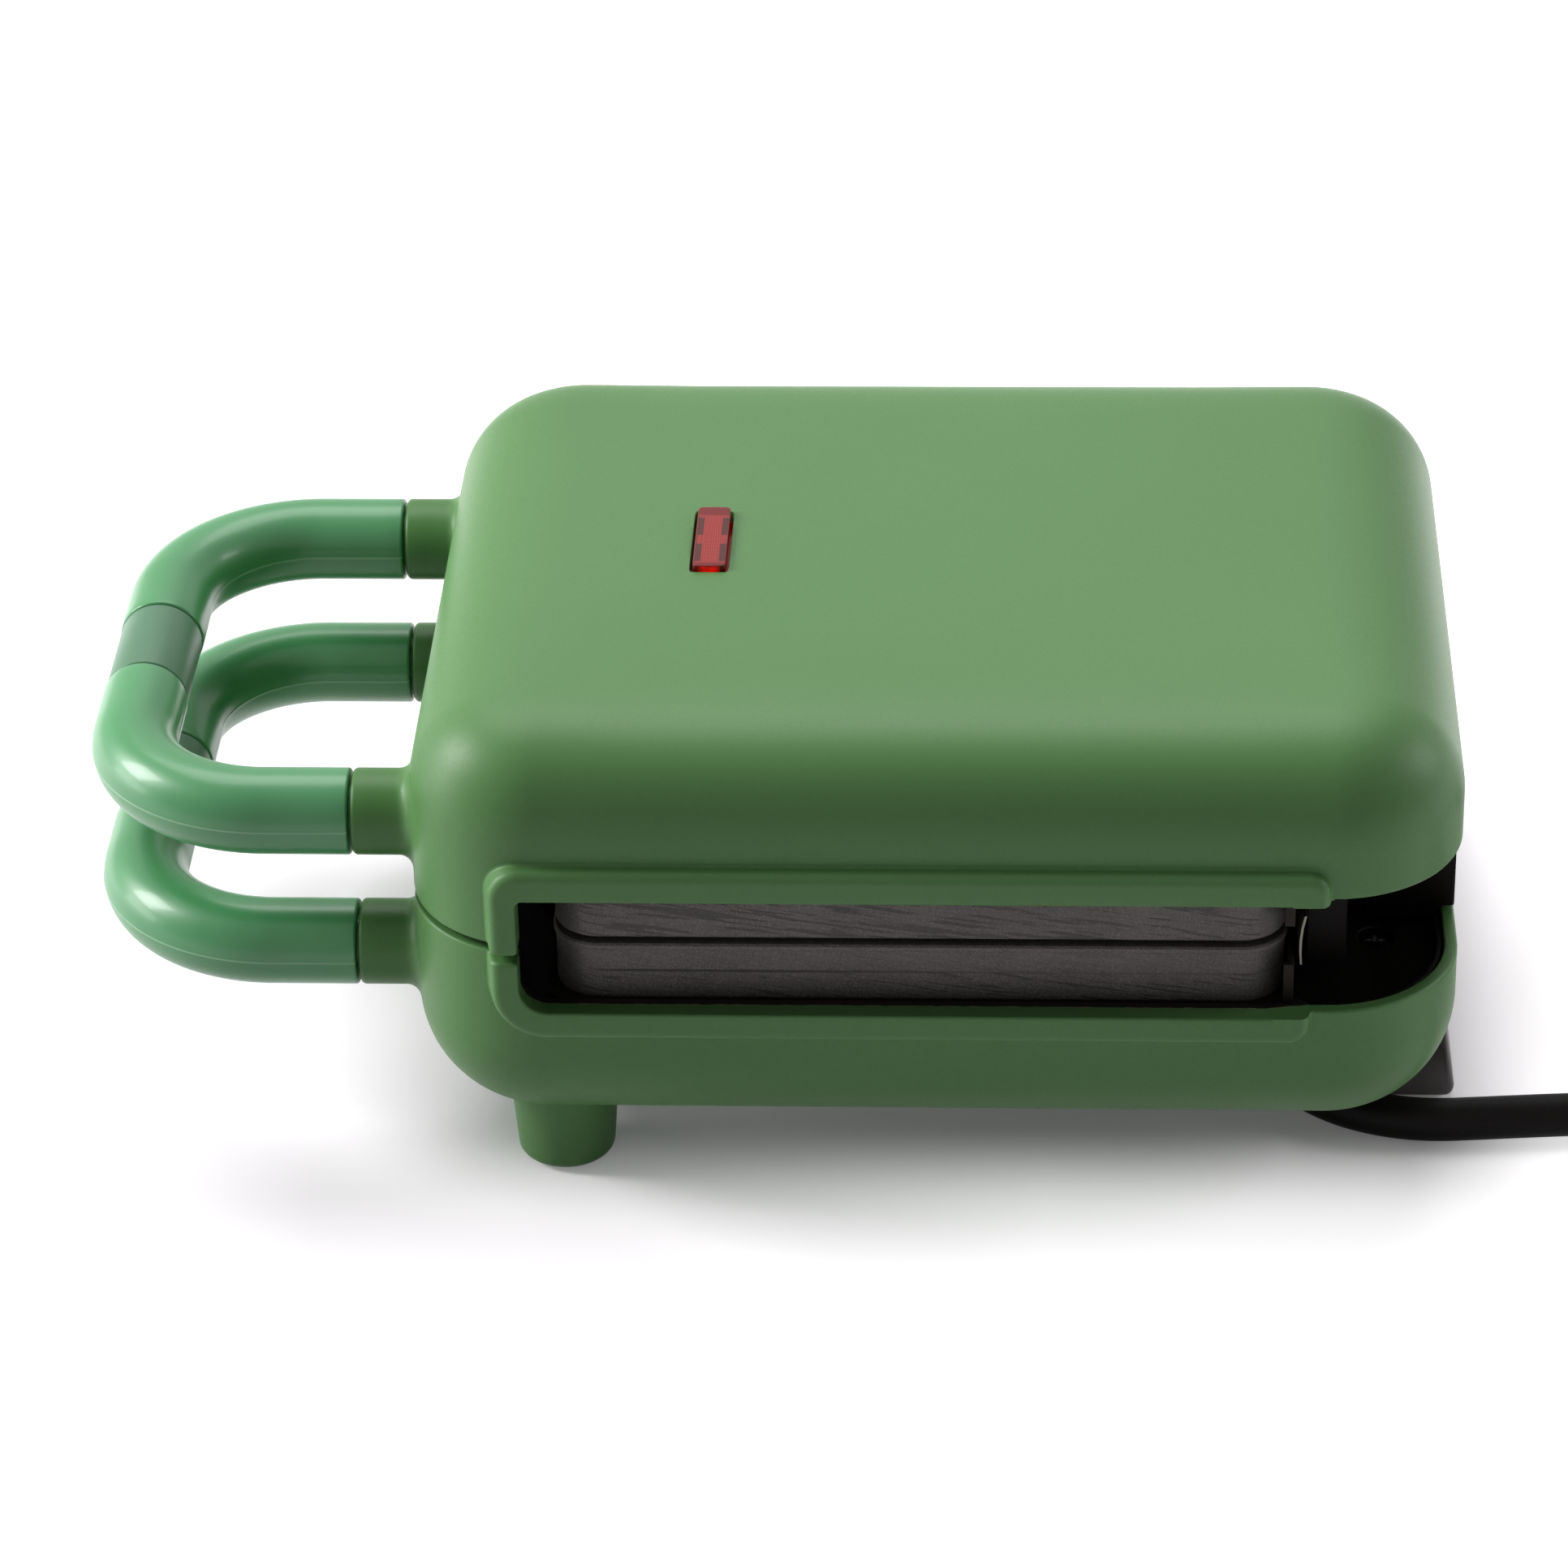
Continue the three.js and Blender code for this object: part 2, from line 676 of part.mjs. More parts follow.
function linerSolid(hingeHoleSpread) {
  const shelf = slab(linerOutline(0), linerFace, linerBack);
  const lipSolid = slab(linerOutline(0), linerFace - lipHeight, linerFace + linerThickness / 2);
  const lipHollow = slab(linerOutline(lipWidth), linerFace - lipHeight - overrun,
    linerFace + linerThickness);
  const flangeEnd = plateLength / 2 + panFlange + clearance;
  const lipKeepOut = box(plateCentre - flangeEnd, plateCentre + flangeEnd, -bodyWidth, bodyWidth,
    linerFace - 2 * lipHeight, linerFace);
  const hingeKeepOut = box(hingeX, bodyLength, -hingeHalf - clearance, hingeHalf + clearance,
    linerFace - 2 * lipHeight, linerFace);
  const lip = cut(lipSolid, [lipHollow, lipKeepOut, hingeKeepOut]);
  const cups = linerScrewPlaces.map(([x, y]) => rod(screwCupRadius, linerFace, cupBack, x, y));
  const wellLength = plateLength - 2 * panMargin + 2 * clearance;
  const wellWidth = plateWidth - 2 * panMargin + 2 * clearance;
  const well = slab(planShape(wellLength, wellWidth, plateCorner + clearance, plateCentre),
    linerFace - overrun, cupBack + overrun);
  const headTools = linerScrewPlaces.map(([x, y]) => (
    rod(screwHeadRadius + clearance, linerFace - overrun, screwSeat, x, y)));
  const shankTools = linerScrewPlaces.map(([x, y]) => (
    rod(screwRadius + clearance, linerFace, cupBack + overrun, x, y, counts.pilotSides)));
  const notchHalf = screwHeadRadius + screwAccess;
  const notchEnd = -(halfLength - wall) + 2 * screwHeadHeight + screwAccess;
  const notches = [-1, 1].map((side) => box(-bodyLength, notchEnd, side * legSpread - notchHalf,
    side * legSpread + notchHalf, linerFace - overrun, cupBack));
  const hingeHoles = [-1, 1].map((side) => rod(screwRadius + clearance, linerFace - overrun,
    cupBack, hingeX, side * hingeHoleSpread, counts.pilotSides));
  return cut(union([shelf, lip, ...cups]), [well, ...headTools, ...shankTools, ...notches, ...hingeHoles]);
}

function lidLiner() {
  const blade = box(bulkheadStart, bulkheadEnd, -bulkheadHalf, bulkheadHalf, -bulkheadReach,
    linerFace + sheet);
  const pocket = box(bulkheadStart + bulkheadWall, bulkheadEnd - bulkheadWall, bulkheadWall - bulkheadHalf,
    bulkheadHalf - bulkheadWall, bulkheadWall - bulkheadReach, linerBack + overrun);
  const whole = cut(linerSolid(hingeScrewSpread).add(blade), [pocket]);
  addPiece('lid_liner', geometryOf(whole), linerBlack);
}

function baseLiner() {
  addPiece('base_liner', turnOver(geometryOf(linerSolid(outerHingeScrewSpread))), linerBlack);
}

// Hinge: a middle knuckle on the lid, two outer knuckles on the base, one pin through all three
const lidAxisHeight = hingeHeight;
const baseAxisDepth = -hingeHeight;
const neckHalf = hingeInset - wall - clearance;

function lidHingeBracket() {
  const foot = linerFace - clearance;
  const shape = new THREE.Shape();
  shape.moveTo(hingeX + neckHalf, foot);
  shape.lineTo(hingeX - knuckleRadius, foot);
  shape.lineTo(hingeX - knuckleRadius, lidAxisHeight);
  const start = Math.PI;
  const stop = 2 * Math.PI + Math.acos(neckHalf / knuckleRadius);
  shape.absarc(hingeX, lidAxisHeight, knuckleRadius, start, stop);
  const knuckle = prism(shape, -middleKnuckleHalf, middleKnuckleHalf, 0, counts.knuckleFacets);
  const bore = rodY(pinRadius + clearance, -hingeHalf, hingeHalf, hingeX, lidAxisHeight);
  const pilots = [-1, 1].map((side) => rod(screwRadius + clearance, foot - screwLength / 2,
    foot + overrun, hingeX, side * hingeScrewSpread, counts.pilotSides));
  addPiece('lid_hinge_bracket', geometryOf(cut(knuckle, [bore, ...pilots])), linerBlack);
}

function baseHingeBlock() {
  const foot = linerFace - clearance;
  const ledge = baseEdgeDepth - clearance;
  const shape = new THREE.Shape();
  shape.moveTo(hingeX + hingeInset, baseAxisDepth);
  shape.lineTo(hingeX + hingeInset, ledge);
  shape.lineTo(hingeX + neckHalf, ledge);
  shape.lineTo(hingeX + neckHalf, foot);
  shape.lineTo(hingeX - knuckleRadius, foot);
  shape.lineTo(hingeX - knuckleRadius, baseAxisDepth);
  shape.absarc(hingeX, baseAxisDepth, knuckleRadius, Math.PI, 2 * Math.PI);
  const block = prism(shape, -hingeHalf, hingeHalf, 0, counts.knuckleFacets);
  const gapHalf = middleKnuckleHalf + knuckleGap;
  const gap = box(hingeX - 2 * knuckleRadius, hingeX + 2 * knuckleRadius, -gapHalf, gapHalf,
    -overrun - 2 * knuckleRadius, baseAxisDepth + knuckleRadius + knuckleGap);
  const bore = rodY(pinRadius + clearance, -hingeHalf + pinCover, hingeHalf - pinCover, hingeX,
    baseAxisDepth);
  const pilots = [-1, 1].map((side) => rod(screwRadius + clearance, foot - screwLength / 2,
    foot + overrun, hingeX, side * outerHingeScrewSpread, counts.pilotSides));
  addPiece('base_hinge_block', turnOver(geometryOf(cut(block, [gap, bore, ...pilots]))), linerBlack);
}

function hingePin() {
  const half = hingeHalf - pinCover - clearance;
  addPiece('hinge_pin', geometryOf(rodY(pinRadius, -half, half, hingeX, hingeHeight)), steel);
}

// Screws that hold liners, hinge brackets and handles
function linerScrews() {
  const top = screwSeat - screwHeadHeight - clearance;
  const place = ([x, y]) => screwGeometry().rotateX(Math.PI).translate(x, y, top);
  addCopies('lid_liner_screw', linerScrewPlaces.map(place), steel);
  addCopies('base_liner_screw', linerScrewPlaces.map(place).map(turnOver), steel);
}

function hingeScrews() {
  const shank = linerThickness + screwLength / 2 - 2 * clearance;
  const place = (spread) => (side) => screwGeometry(shank).translate(hingeX, side * spread,
    linerBack + clearance + screwHeadHeight);
  addCopies('lid_hinge_screw', [-1, 1].map(place(hingeScrewSpread)), steel);
  addCopies('base_hinge_screw', [-1, 1].map(place(outerHingeScrewSpread)).map(turnOver), steel);
}

function handleScrews() {
  const x = -(halfLength - wall) + clearance + screwHeadHeight;
  const place = (half) => (side) => screwGeometry().rotateY(Math.PI / 2).translate(x, side * legSpread,
    half.handle);
  addCopies('lid_handle_screw', [-1, 1].map(place(halves.lid)), steel);
  addCopies('base_handle_screw', [-1, 1].map(place(halves.base)).map(turnOver), steel);
}

// Handle elbow: a leg out of the collar, a quarter bend and half the crossbar up to the sleeve
class ElbowPath extends THREE.Curve {
  constructor(side) {
    super();
    this.side = side;
    this.start = -(halfLength + collarLength + handleSeam);
    this.leg = this.start - (tubeCentreX + bendRadius);
    this.bend = bendRadius * Math.PI / 2;
    this.bar = legSpread - bendRadius - sleeveHalf - handleSeam / 2;
  }

  getPoint(share, target = new THREE.Vector3()) {
    const run = share * (this.leg + this.bend + this.bar);
    if (run < this.leg) {
      return target.set(this.start - run, this.side * legSpread, 0);
    }
    if (run < this.leg + this.bend) {
      const angle = (run - this.leg) / bendRadius;
      return target.set(tubeCentreX + bendRadius * (1 - Math.sin(angle)),
        this.side * (legSpread - bendRadius * (1 - Math.cos(angle))), 0);
    }
    const past = run - this.leg - this.bend;
    return target.set(tubeCentreX, this.side * (legSpread - bendRadius - past), 0);
  }
}

function elbowGeometry(side, height) {
  const tube = solid(sweep(new ElbowPath(side), tubeRadius, counts.tubeSides, counts.tubeSteps));
  const mouth = -(halfLength + collarLength);
  const spigotEnd = mouth + socketDepth - clearance;
  const spigot = rodX(spigotRadius, mouth - overrun, spigotEnd, side * legSpread, 0);
  const pilot = rodX(screwRadius + clearance, spigotEnd - screwLength, spigotEnd + overrun,
    side * legSpread, 0, counts.pilotSides);
  const inner = clearance / 2;
  const outer = sleeveHalf + overrun;
  const pegEnds = side < 0 ? [-outer, -inner] : [inner, outer];
  const peg = rodY(sleeveBore - clearance, pegEnds[0], pegEnds[1], tubeCentreX, 0);
  return geometryOf(cut(union([tube, spigot, peg]), [pilot])).translate(0, 0, height);
}

function sleeveGeometry(height) {
  const outer = rodY(tubeRadius - sleeveInset, -sleeveHalf, sleeveHalf, tubeCentreX, 0, counts.roundSides);
  const bore = rodY(sleeveBore, -sleeveHalf - overrun, sleeveHalf + overrun, tubeCentreX, 0);
  return geometryOf(cut(outer, [bore])).translate(0, 0, height);
}

function handles() {
  for (const [prefix, half, turn] of [['lid', halves.lid, false], ['base', halves.base, true]]) {
    const finish = (geometry) => (turn ? turnOver(geometry) : geometry);
    const nearSide = turn ? 1 : -1;
    addPiece(`${prefix}_handle_near`, finish(elbowGeometry(nearSide, half.handle)), handleGreen);
    addPiece(`${prefix}_handle_far`, finish(elbowGeometry(-nearSide, half.handle)), handleGreen);
    addPiece(`${prefix}_handle_sleeve`, finish(sleeveGeometry(half.handle)), sleeveGreen);
  }
}

// Bright bowed strip that steadies the lid plate's hinge end, clipped across the hanging wall
function plateSpring() {
  const back = bulkheadStart - clearance;
  const front = back - springBow - springSheet;
  const bowed = 2 * springBow;
  const middle = springHeight / 2 - springDrop;
  const top = springHeight - springDrop;
  const shape = new THREE.Shape();
  shape.moveTo(back, top);
  shape.quadraticCurveTo(back - bowed, middle, back - springBow, -springDrop);
  shape.lineTo(front, -springDrop);
  shape.quadraticCurveTo(back - bowed - springSheet, middle, back - springSheet, top);
  addPiece('lid_plate_spring', geometryOf(prism(shape, -springHalf, springHalf)), steel);
}

// Lamp in the lid
function lamp() {
  const inside = lidHeight - wall - clearance;
  const lensLength = lampHoleLength - 2 * lensGap;
  const lensWidth = lampHoleWidth - 2 * clearance;
  const raised = slab(planShape(lensLength, lensWidth, lampCorner, lampX), inside - lensFlangeHeight / 2,
    lidHeight + lensProud, counts.lampFacets);
  const flange = slab(planShape(lensLength + 2 * lensFlange, lensWidth + 2 * lensFlange, lampCorner, lampX),
    inside - lensFlangeHeight, inside, counts.lampFacets);
  addPiece('lamp_lens', geometryOf(raised.add(flange)), lensRed);
  const holderTop = inside - lensFlangeHeight - clearance;
  const holderFloor = holderTop - lampHolderDepth;
  const holder = slab(planShape(lensLength + 2 * lensFlange, lensWidth + 2 * lensFlange, lampCorner, lampX),
    holderFloor, holderTop, counts.lampFacets);
  const well = slab(planShape(lensLength, lensWidth, lampCorner, lampX), holderFloor + lampHolderWall,
    holderTop + overrun, counts.lampFacets);
  addPiece('lamp_holder', geometryOf(cut(holder, [well])), linerBlack);
  const bulbHeight = holderFloor + lampHolderWall + clearance + neonRadius;
  const bulb = rodY(neonRadius, -neonLength / 2, neonLength / 2, lampX, bulbHeight);
  addPiece('neon_lamp', geometryOf(bulb), { color: 0xf0d8c8, roughness: 0.1, metalness: 0 });
}

// Feet under the handle end
const footBottom = floorDepth - padProud;

function frontFeet() {
  const outer = bowl(bodyLength + 2 * clearance, bodyWidth + 2 * clearance, planCorner + clearance,
    baseDepth + clearance, baseRound + clearance);
  const startHeight = baseDepth - footTop;
  const cornerCut = footEdgeRound * (1 - Math.SQRT1_2);
  const headSeat = baseDepth + 2 * clearance + screwHeadHeight;
  for (const [name, side] of [['front_foot_near', 1], ['front_foot_far', -1]]) {
    const profile = [
      [0, startHeight],
      [footTopRadius, startHeight],
      [footBottomRadius, footBottom - footEdgeRound],
      [footBottomRadius - cornerCut, footBottom - cornerCut],
      [footBottomRadius - footEdgeRound, footBottom],
      [0, footBottom],
    ];
    const post = solid(turned(profile, counts.roundSides).translate(footX, side * footY, 0));
    const padSeat = rod(padRadius + clearance, footBottom - padThickness + padProud - clearance,
      footBottom + overrun, footX, side * footY);
    const headTool = rod(screwHeadRadius + clearance, headSeat, footBottom + overrun, footX, side * footY);
    const shankTool = rod(screwRadius + clearance, startHeight - overrun, headSeat + overrun, footX,
      side * footY, counts.pilotSides);
    addPiece(name, turnOver(geometryOf(cut(post, [outer, padSeat, headTool, shankTool]))), shellGreen);
  }
  const pads = footScrewPlaces.map(([x, y]) => (
    rod(padRadius, floorDepth - padThickness, floorDepth, x, y)));
  addCopies('front_foot_pad', pads.map(geometryOf).map(turnOver), rubberBlack);
  const shank = headSeat - baseDepth + screwLength - 2 * clearance - screwHeadHeight;
  const place = ([x, y]) => screwGeometry(shank).translate(x, y, headSeat + clearance + screwHeadHeight);
  addCopies('front_foot_screw', footScrewPlaces.map(place).map(turnOver), steel);
}

// Black stand under the hinge end, with the housing that the cord leaves from
function rearStand() {
  const outer = bowl(bodyLength + 2 * clearance, bodyWidth + 2 * clearance, planCorner + clearance,
    baseDepth + clearance, baseRound + clearance);
  const face = halfLength;
  const top = floorDepth - footClear - standTop;
  const shape = new THREE.Shape();
  shape.moveTo(standStart, top);
  shape.lineTo(face, top);
  shape.lineTo(face, floorDepth - footClear - standShoulder);
  shape.lineTo(face + standOverhang, footBottom - standRound);
  shape.quadraticCurveTo(face + standOverhang, footBottom, face + standOverhang - standRound, footBottom);
  shape.lineTo(standStart, footBottom);
  const block = prism(shape, -standHalf, standHalf, standRound / 2);
  const outlet = box(outletStart, standStart + overrun, -outletFar, -outletNear, top, footBottom);
  const padSeats = [-1, 1].map((side) => box(standPadX - standPadLength / 2 - clearance,
    standPadX + standPadLength / 2 + clearance, side * standPadY - standPadWidth / 2 - clearance,
    side * standPadY + standPadWidth / 2 + clearance, footBottom - padThickness + padProud - clearance,
    footBottom + overrun));
  const headSeat = baseDepth + 2 * clearance + screwHeadHeight;
  const tools = standScrewPlaces.flatMap(([x, y]) => [
    rod(screwHeadRadius + clearance, headSeat, footBottom + overrun, x, y),
    rod(screwRadius + clearance, top - overrun, headSeat + overrun, x, y, counts.pilotSides),
  ]);
  const glandSeat = rodY(glandRootRadius + clearance, -outletNear - glandFlange - clearance,
    -outletNear + overrun, glandX, floorDepth - glandRootRadius - clearance);
  const whole = cut(union([block, outlet]), [outer, ...padSeats, ...tools, glandSeat]);
  addPiece('rear_stand', turnOver(geometryOf(whole)), standBlack);
  const pads = [-1, 1].map((side) => box(standPadX - standPadLength / 2, standPadX + standPadLength / 2,
    side * standPadY - standPadWidth / 2, side * standPadY + standPadWidth / 2,
    floorDepth - padThickness, floorDepth));
  addCopies('rear_stand_pad', pads.map(geometryOf).map(turnOver), rubberBlack);
  const shank = headSeat - baseOutsideAt(standScrewX, standScrewSpread) + screwLength - 2 * clearance
    - screwHeadHeight;
  const place = ([x, y]) => screwGeometry(shank).translate(x, y, headSeat + clearance + screwHeadHeight);
  addCopies('rear_stand_screw', standScrewPlaces.map(place).map(turnOver), steel);
}

// Inner electrical pieces of the base
function electrics() {
  const underPan = flangeBack + panDepth + clearance;
  const thermostat = turned([
    [0, underPan],
    [thermostatRadius, underPan],
    [thermostatRadius, underPan + thermostatHeight * thermostatStepShare],
    [thermostatRadius * thermostatCapShare, underPan + thermostatHeight],
    [0, underPan + thermostatHeight],
  ], counts.roundSides);
  addPiece('thermostat', turnOver(thermostat.translate(plateCentre, 0, 0)), ceramicWhite);
  const fuseStart = plateCentre + fuseShift - fuseLength / 2;
  const fuse = rodX(fuseRadius, fuseStart, fuseStart + fuseLength, fuseSpread, underPan + fuseRadius);
  addPiece('thermal_fuse', turnOver(geometryOf(fuse)), steel);
  const top = baseDepth - wall - clearance;
  const terminalX = plateCentre + terminalShift;
  const block = box(terminalX - terminalLength / 2, terminalX + terminalLength / 2, -terminalWidth / 2,
    terminalWidth / 2, top - terminalHeight, top);
  const cells = [];
  for (let i = 0; i < terminalCellCount; i += 1) {
    const x = terminalX + (i - (terminalCellCount - 1) / 2) * terminalLength / terminalCellCount;
    cells.push(box(x - terminalCell / 2, x + terminalCell / 2, -terminalWidth, terminalWidth,
      top - terminalHeight / 2 - terminalCell / 2, top - terminalHeight / 2 + terminalCell / 2));
  }
  addPiece('terminal_block', turnOver(geometryOf(cut(block, cells))), ceramicWhite);
}

// Supply lead: strain relief, free stretch, coil with its loops, and plug
const cordRadius = cordDiameter / 2;
const floorZ = -floorDepth;
const glandZ = floorZ + glandRootRadius + clearance;
const glandTipY = outletNear - glandLength;
const cordStartY = glandTipY - clearance;

function gland() {
  const root = outletNear - clearance + glandFlange;
  const profile = [
    [0, -root],
    [glandRootRadius, -root],
    [glandRootRadius, -outletNear + glandFlange],
    [glandTipRadius, -glandTipY],
    [0, -glandTipY],
  ];
  const relief = solid(turned(profile, counts.roundSides).rotateX(Math.PI / 2));
  addPiece('cord_gland', geometryOf(relief).translate(glandX, 0, glandZ), linerBlack);
}

// Route of the free stretch, chosen by hand: [x, y] from the strain relief's tip, and the lift of the
// cord off the table
const cordRoute = [
  [0, 0, 1.8],
  [0, -6.8, 1.8],
  [0, -13.5, 1.7],
  [0.15, -19.5, 1.4],
  [1.1, -25.4, 1],
  [3.15, -31, 0.6],
  [6.25, -36.15, 0.3],
  [10.3, -40.6, 0.1],
  [15.1, -44.2, 0],
  [20.5, -46.8, 0],
  [26.3, -48.35, 0],
  [32.2, -48.8, 0],
  [38.2, -48.4, 0],
  [46, -47.7, 0],
  [60, -46.6, 0],
  [76, -46.1, 0],
  [92, -46.1, 0],
  [109, -46.1, 0],
];
const cordPoints = cordRoute.map(([x, y, lift]) => (
  new THREE.Vector3(glandX + x, cordStartY + y, floorZ + cordRadius + lift)));

function cord() {
  const path = new THREE.CatmullRomCurve3(cordPoints, false, 'centripetal');
  const steps = Math.ceil(path.getLength() / cordStep);
  addPiece('cord', sweep(path, cordRadius, counts.cordSides, steps), cordBlack);
}

// Coil: turns spiral in, climb a layer in the half turn where they reverse, and spiral out again;
// straight ends lead in along the table and out to the plug
const coilOuterRadius = coilMeanRadius + coilPitch * coilTurnCount / 4;
const cordEnd = cordPoints[cordPoints.length - 1];
const coilCentreX = glandX + coilReach;
const coilCentreY = cordEnd.y + coilOuterRadius;
const leadIn = coilCentreX - cordEnd.x - clearance;

class CoilPath extends THREE.Curve {
  constructor() {
    super();
    this.turnLength = 2 * Math.PI * coilMeanRadius;
    this.wound = this.turnLength * coilTurnCount;
    this.total = leadIn + this.wound + plugRise;
  }

  // A point of the wound part after a number of turns
  wind(turns, target) {
    const fromMiddle = turns - coilTurnCount / 2;
    const radius = coilOuterRadius - coilPitch * (coilTurnCount / 2 - Math.abs(fromMiddle));
    const climb = THREE.MathUtils.smoothstep(fromMiddle, -coilClimbShare / 2, coilClimbShare / 2);
    const angle = 2 * Math.PI * turns - Math.PI / 2;
    return target.set(coilCentreX + radius * Math.cos(angle), coilCentreY + radius * Math.sin(angle),
      floorZ + cordRadius + coilRise * climb);
  }

  getPoint(share, target = new THREE.Vector3()) {
    const run = share * this.total;
    if (run < leadIn) {
      return target.set(coilCentreX - leadIn + run, cordEnd.y, floorZ + cordRadius);
    }
    if (run < leadIn + this.wound) {
      return this.wind((run - leadIn) / this.turnLength, target);
    }
    const past = (run - leadIn - this.wound) / plugRise;
    this.wind(coilTurnCount, target);
    const height = plugRadius - cordRadius - coilRise;
    target.y += past * plugRise;
    target.z += height * THREE.MathUtils.smoothstep(past, 0, plugLevelShare);
    return target;
  }
}

function coil() {
  const path = new CoilPath();
  const steps = Math.ceil(path.total / path.turnLength * counts.coilSteps);
  addPiece('cord_coil', sweep(path, cordRadius, counts.coilSides, steps), cordBlack);
  const turns = [];
  const samples = counts.coilSamples * Math.ceil(coilTurnCount);
  for (let i = 0; i <= samples; i += 1) {
    turns.push(path.wind((i / samples) * coilTurnCount, new THREE.Vector3()));
  }
  const skip = Math.ceil(samples / coilTurnCount / 2);
  let least = Infinity;
  for (let i = 0; i < turns.length; i += 1) {
    for (let k = i + skip; k < turns.length; k += 1) {
      least = Math.min(least, turns[i].distanceTo(turns[k]));
    }
  }
  console.log(`least gap between the coil's turns ${(least - cordDiameter).toFixed(2)} mm`);
  return path.getPoint(1);
}

function plug(end) {
  const start = end.y + clearance;
  const profile = [
    [0, start],
    [plugNeck * plugTipShare, start],
    [plugNeck, start + plugTail * plugNeckShare],
    [plugRadius * plugShoulderShare, start + plugTail],
    [plugRadius, start + plugTail + plugDepth * plugFaceShare],
    [plugRadius, start + plugTail + plugDepth],
    [0, start + plugTail + plugDepth],
  ];
  const face = start + plugTail + plugDepth;
  const z = floorZ + plugRadius;
  const earthReach = plugRadius - earthInset;
  const earthInner = earthReach - earthSheet - clearance;
  const body = solid(turned(profile, counts.roundSides).rotateX(-Math.PI / 2).translate(end.x, 0, z));
  const slots = [-1, 1].map((side) => box(end.x - earthWidth / 2 - clearance,
    end.x + earthWidth / 2 + clearance, face - earthDepth - clearance, face + overrun,
    Math.min(z + side * earthInner, z + side * 2 * plugRadius),
    Math.max(z + side * earthInner, z + side * 2 * plugRadius)));
  const passage = box(end.x - earthWidth / 2 - clearance, end.x + earthWidth / 2 + clearance,
    face - earthDepth - clearance, face - earthDepth + earthSheet + clearance,
    z - plugRadius, z + plugRadius);
  const pinHoles = [-1, 1].map((side) => rodY(plugPinRadius + clearance, face - plugPinLength / 3, face
    + overrun, end.x + side * plugPinSpread, z));
  addPiece('plug_body', geometryOf(cut(body, [...slots, ...pinHoles, passage])), cordBlack);
  const pins = [-1, 1].map((side) => rodY(plugPinRadius, face - plugPinLength / 3 + clearance, face
    + plugPinLength, end.x + side * plugPinSpread, z));
  addCopies('plug_pin', pins.map(geometryOf), brass);
  const strap = earthReach - earthSheet;
  const outside = box(end.x - earthWidth / 2, end.x + earthWidth / 2, face - earthDepth, face,
    z - earthReach, z + earthReach);
  const inside = box(end.x - earthWidth, end.x + earthWidth, face - earthDepth + earthSheet,
    face + overrun, z - strap, z + strap);
  addPiece('plug_earth_strap', geometryOf(cut(outside, [inside])), brass);
}

lidShell();
baseShell();
addPiece('lid_plate', plateGeometry(false), coatedGrey);
addPiece('base_plate', turnOver(plateGeometry(true)), coatedGrey);
addPiece('lid_reflector', reflectorGeometry(), shieldBrown);
addPiece('base_reflector', turnOver(reflectorGeometry()), shieldBrown);
addPiece('lid_heater', heaterGeometry(), steel);
addPiece('base_heater', turnOver(heaterGeometry()), steel);
lidLiner();
baseLiner();
lidHingeBracket();
baseHingeBlock();
hingePin();
linerScrews();
hingeScrews();
handles();
handleScrews();
plateSpring();
lamp();
frontFeet();
rearStand();
electrics();
gland();
cord();
plug(coil());

export default group;
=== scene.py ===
import json
import math

import bmesh
import bpy
import numpy as np
from mathutils import Matrix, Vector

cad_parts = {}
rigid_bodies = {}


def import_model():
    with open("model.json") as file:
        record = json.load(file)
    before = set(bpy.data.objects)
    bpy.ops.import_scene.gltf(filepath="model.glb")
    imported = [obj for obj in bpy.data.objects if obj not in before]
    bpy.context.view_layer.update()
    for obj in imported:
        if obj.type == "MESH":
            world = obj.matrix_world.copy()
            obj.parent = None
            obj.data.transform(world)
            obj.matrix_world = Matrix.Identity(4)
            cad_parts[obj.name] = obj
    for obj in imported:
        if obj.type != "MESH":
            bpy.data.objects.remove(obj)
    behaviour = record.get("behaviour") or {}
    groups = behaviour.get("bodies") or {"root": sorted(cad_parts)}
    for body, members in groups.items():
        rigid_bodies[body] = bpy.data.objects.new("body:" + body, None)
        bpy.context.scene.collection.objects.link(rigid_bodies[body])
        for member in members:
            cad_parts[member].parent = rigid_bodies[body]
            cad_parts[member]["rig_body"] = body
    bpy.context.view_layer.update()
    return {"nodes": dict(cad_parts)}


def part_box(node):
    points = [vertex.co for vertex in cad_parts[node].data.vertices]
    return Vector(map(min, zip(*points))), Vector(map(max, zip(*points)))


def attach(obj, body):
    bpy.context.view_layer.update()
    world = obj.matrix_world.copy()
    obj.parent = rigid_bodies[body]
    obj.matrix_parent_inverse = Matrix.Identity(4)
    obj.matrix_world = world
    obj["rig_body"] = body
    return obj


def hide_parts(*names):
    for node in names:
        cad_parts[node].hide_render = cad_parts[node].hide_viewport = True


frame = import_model()

# Everything below is drawn in millimetres in the body's own frame, as the solids are:
# X from the middle of the body, Z from the parting plane. bodyOrigin carries it to the shared frame.
body = {"length": 184, "width": 153, "corner": 23.6, "wall": 2.3, "partingGap": 1.4}
halfLength, halfWidth = body["length"] / 2, body["width"] / 2
flatX, flatY = halfLength - body["corner"], halfWidth - body["corner"]
lidLow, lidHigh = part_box("lid_shell")
bodyOrigin = np.array([lidHigh.x * 1000 - halfLength, 0, lidLow.z * 1000 - body["partingGap"] / 2])
floorZ = -bodyOrigin[2]
turnedOver = np.array([1, -1, -1])  # the base is drawn as the lid is, then turned about X

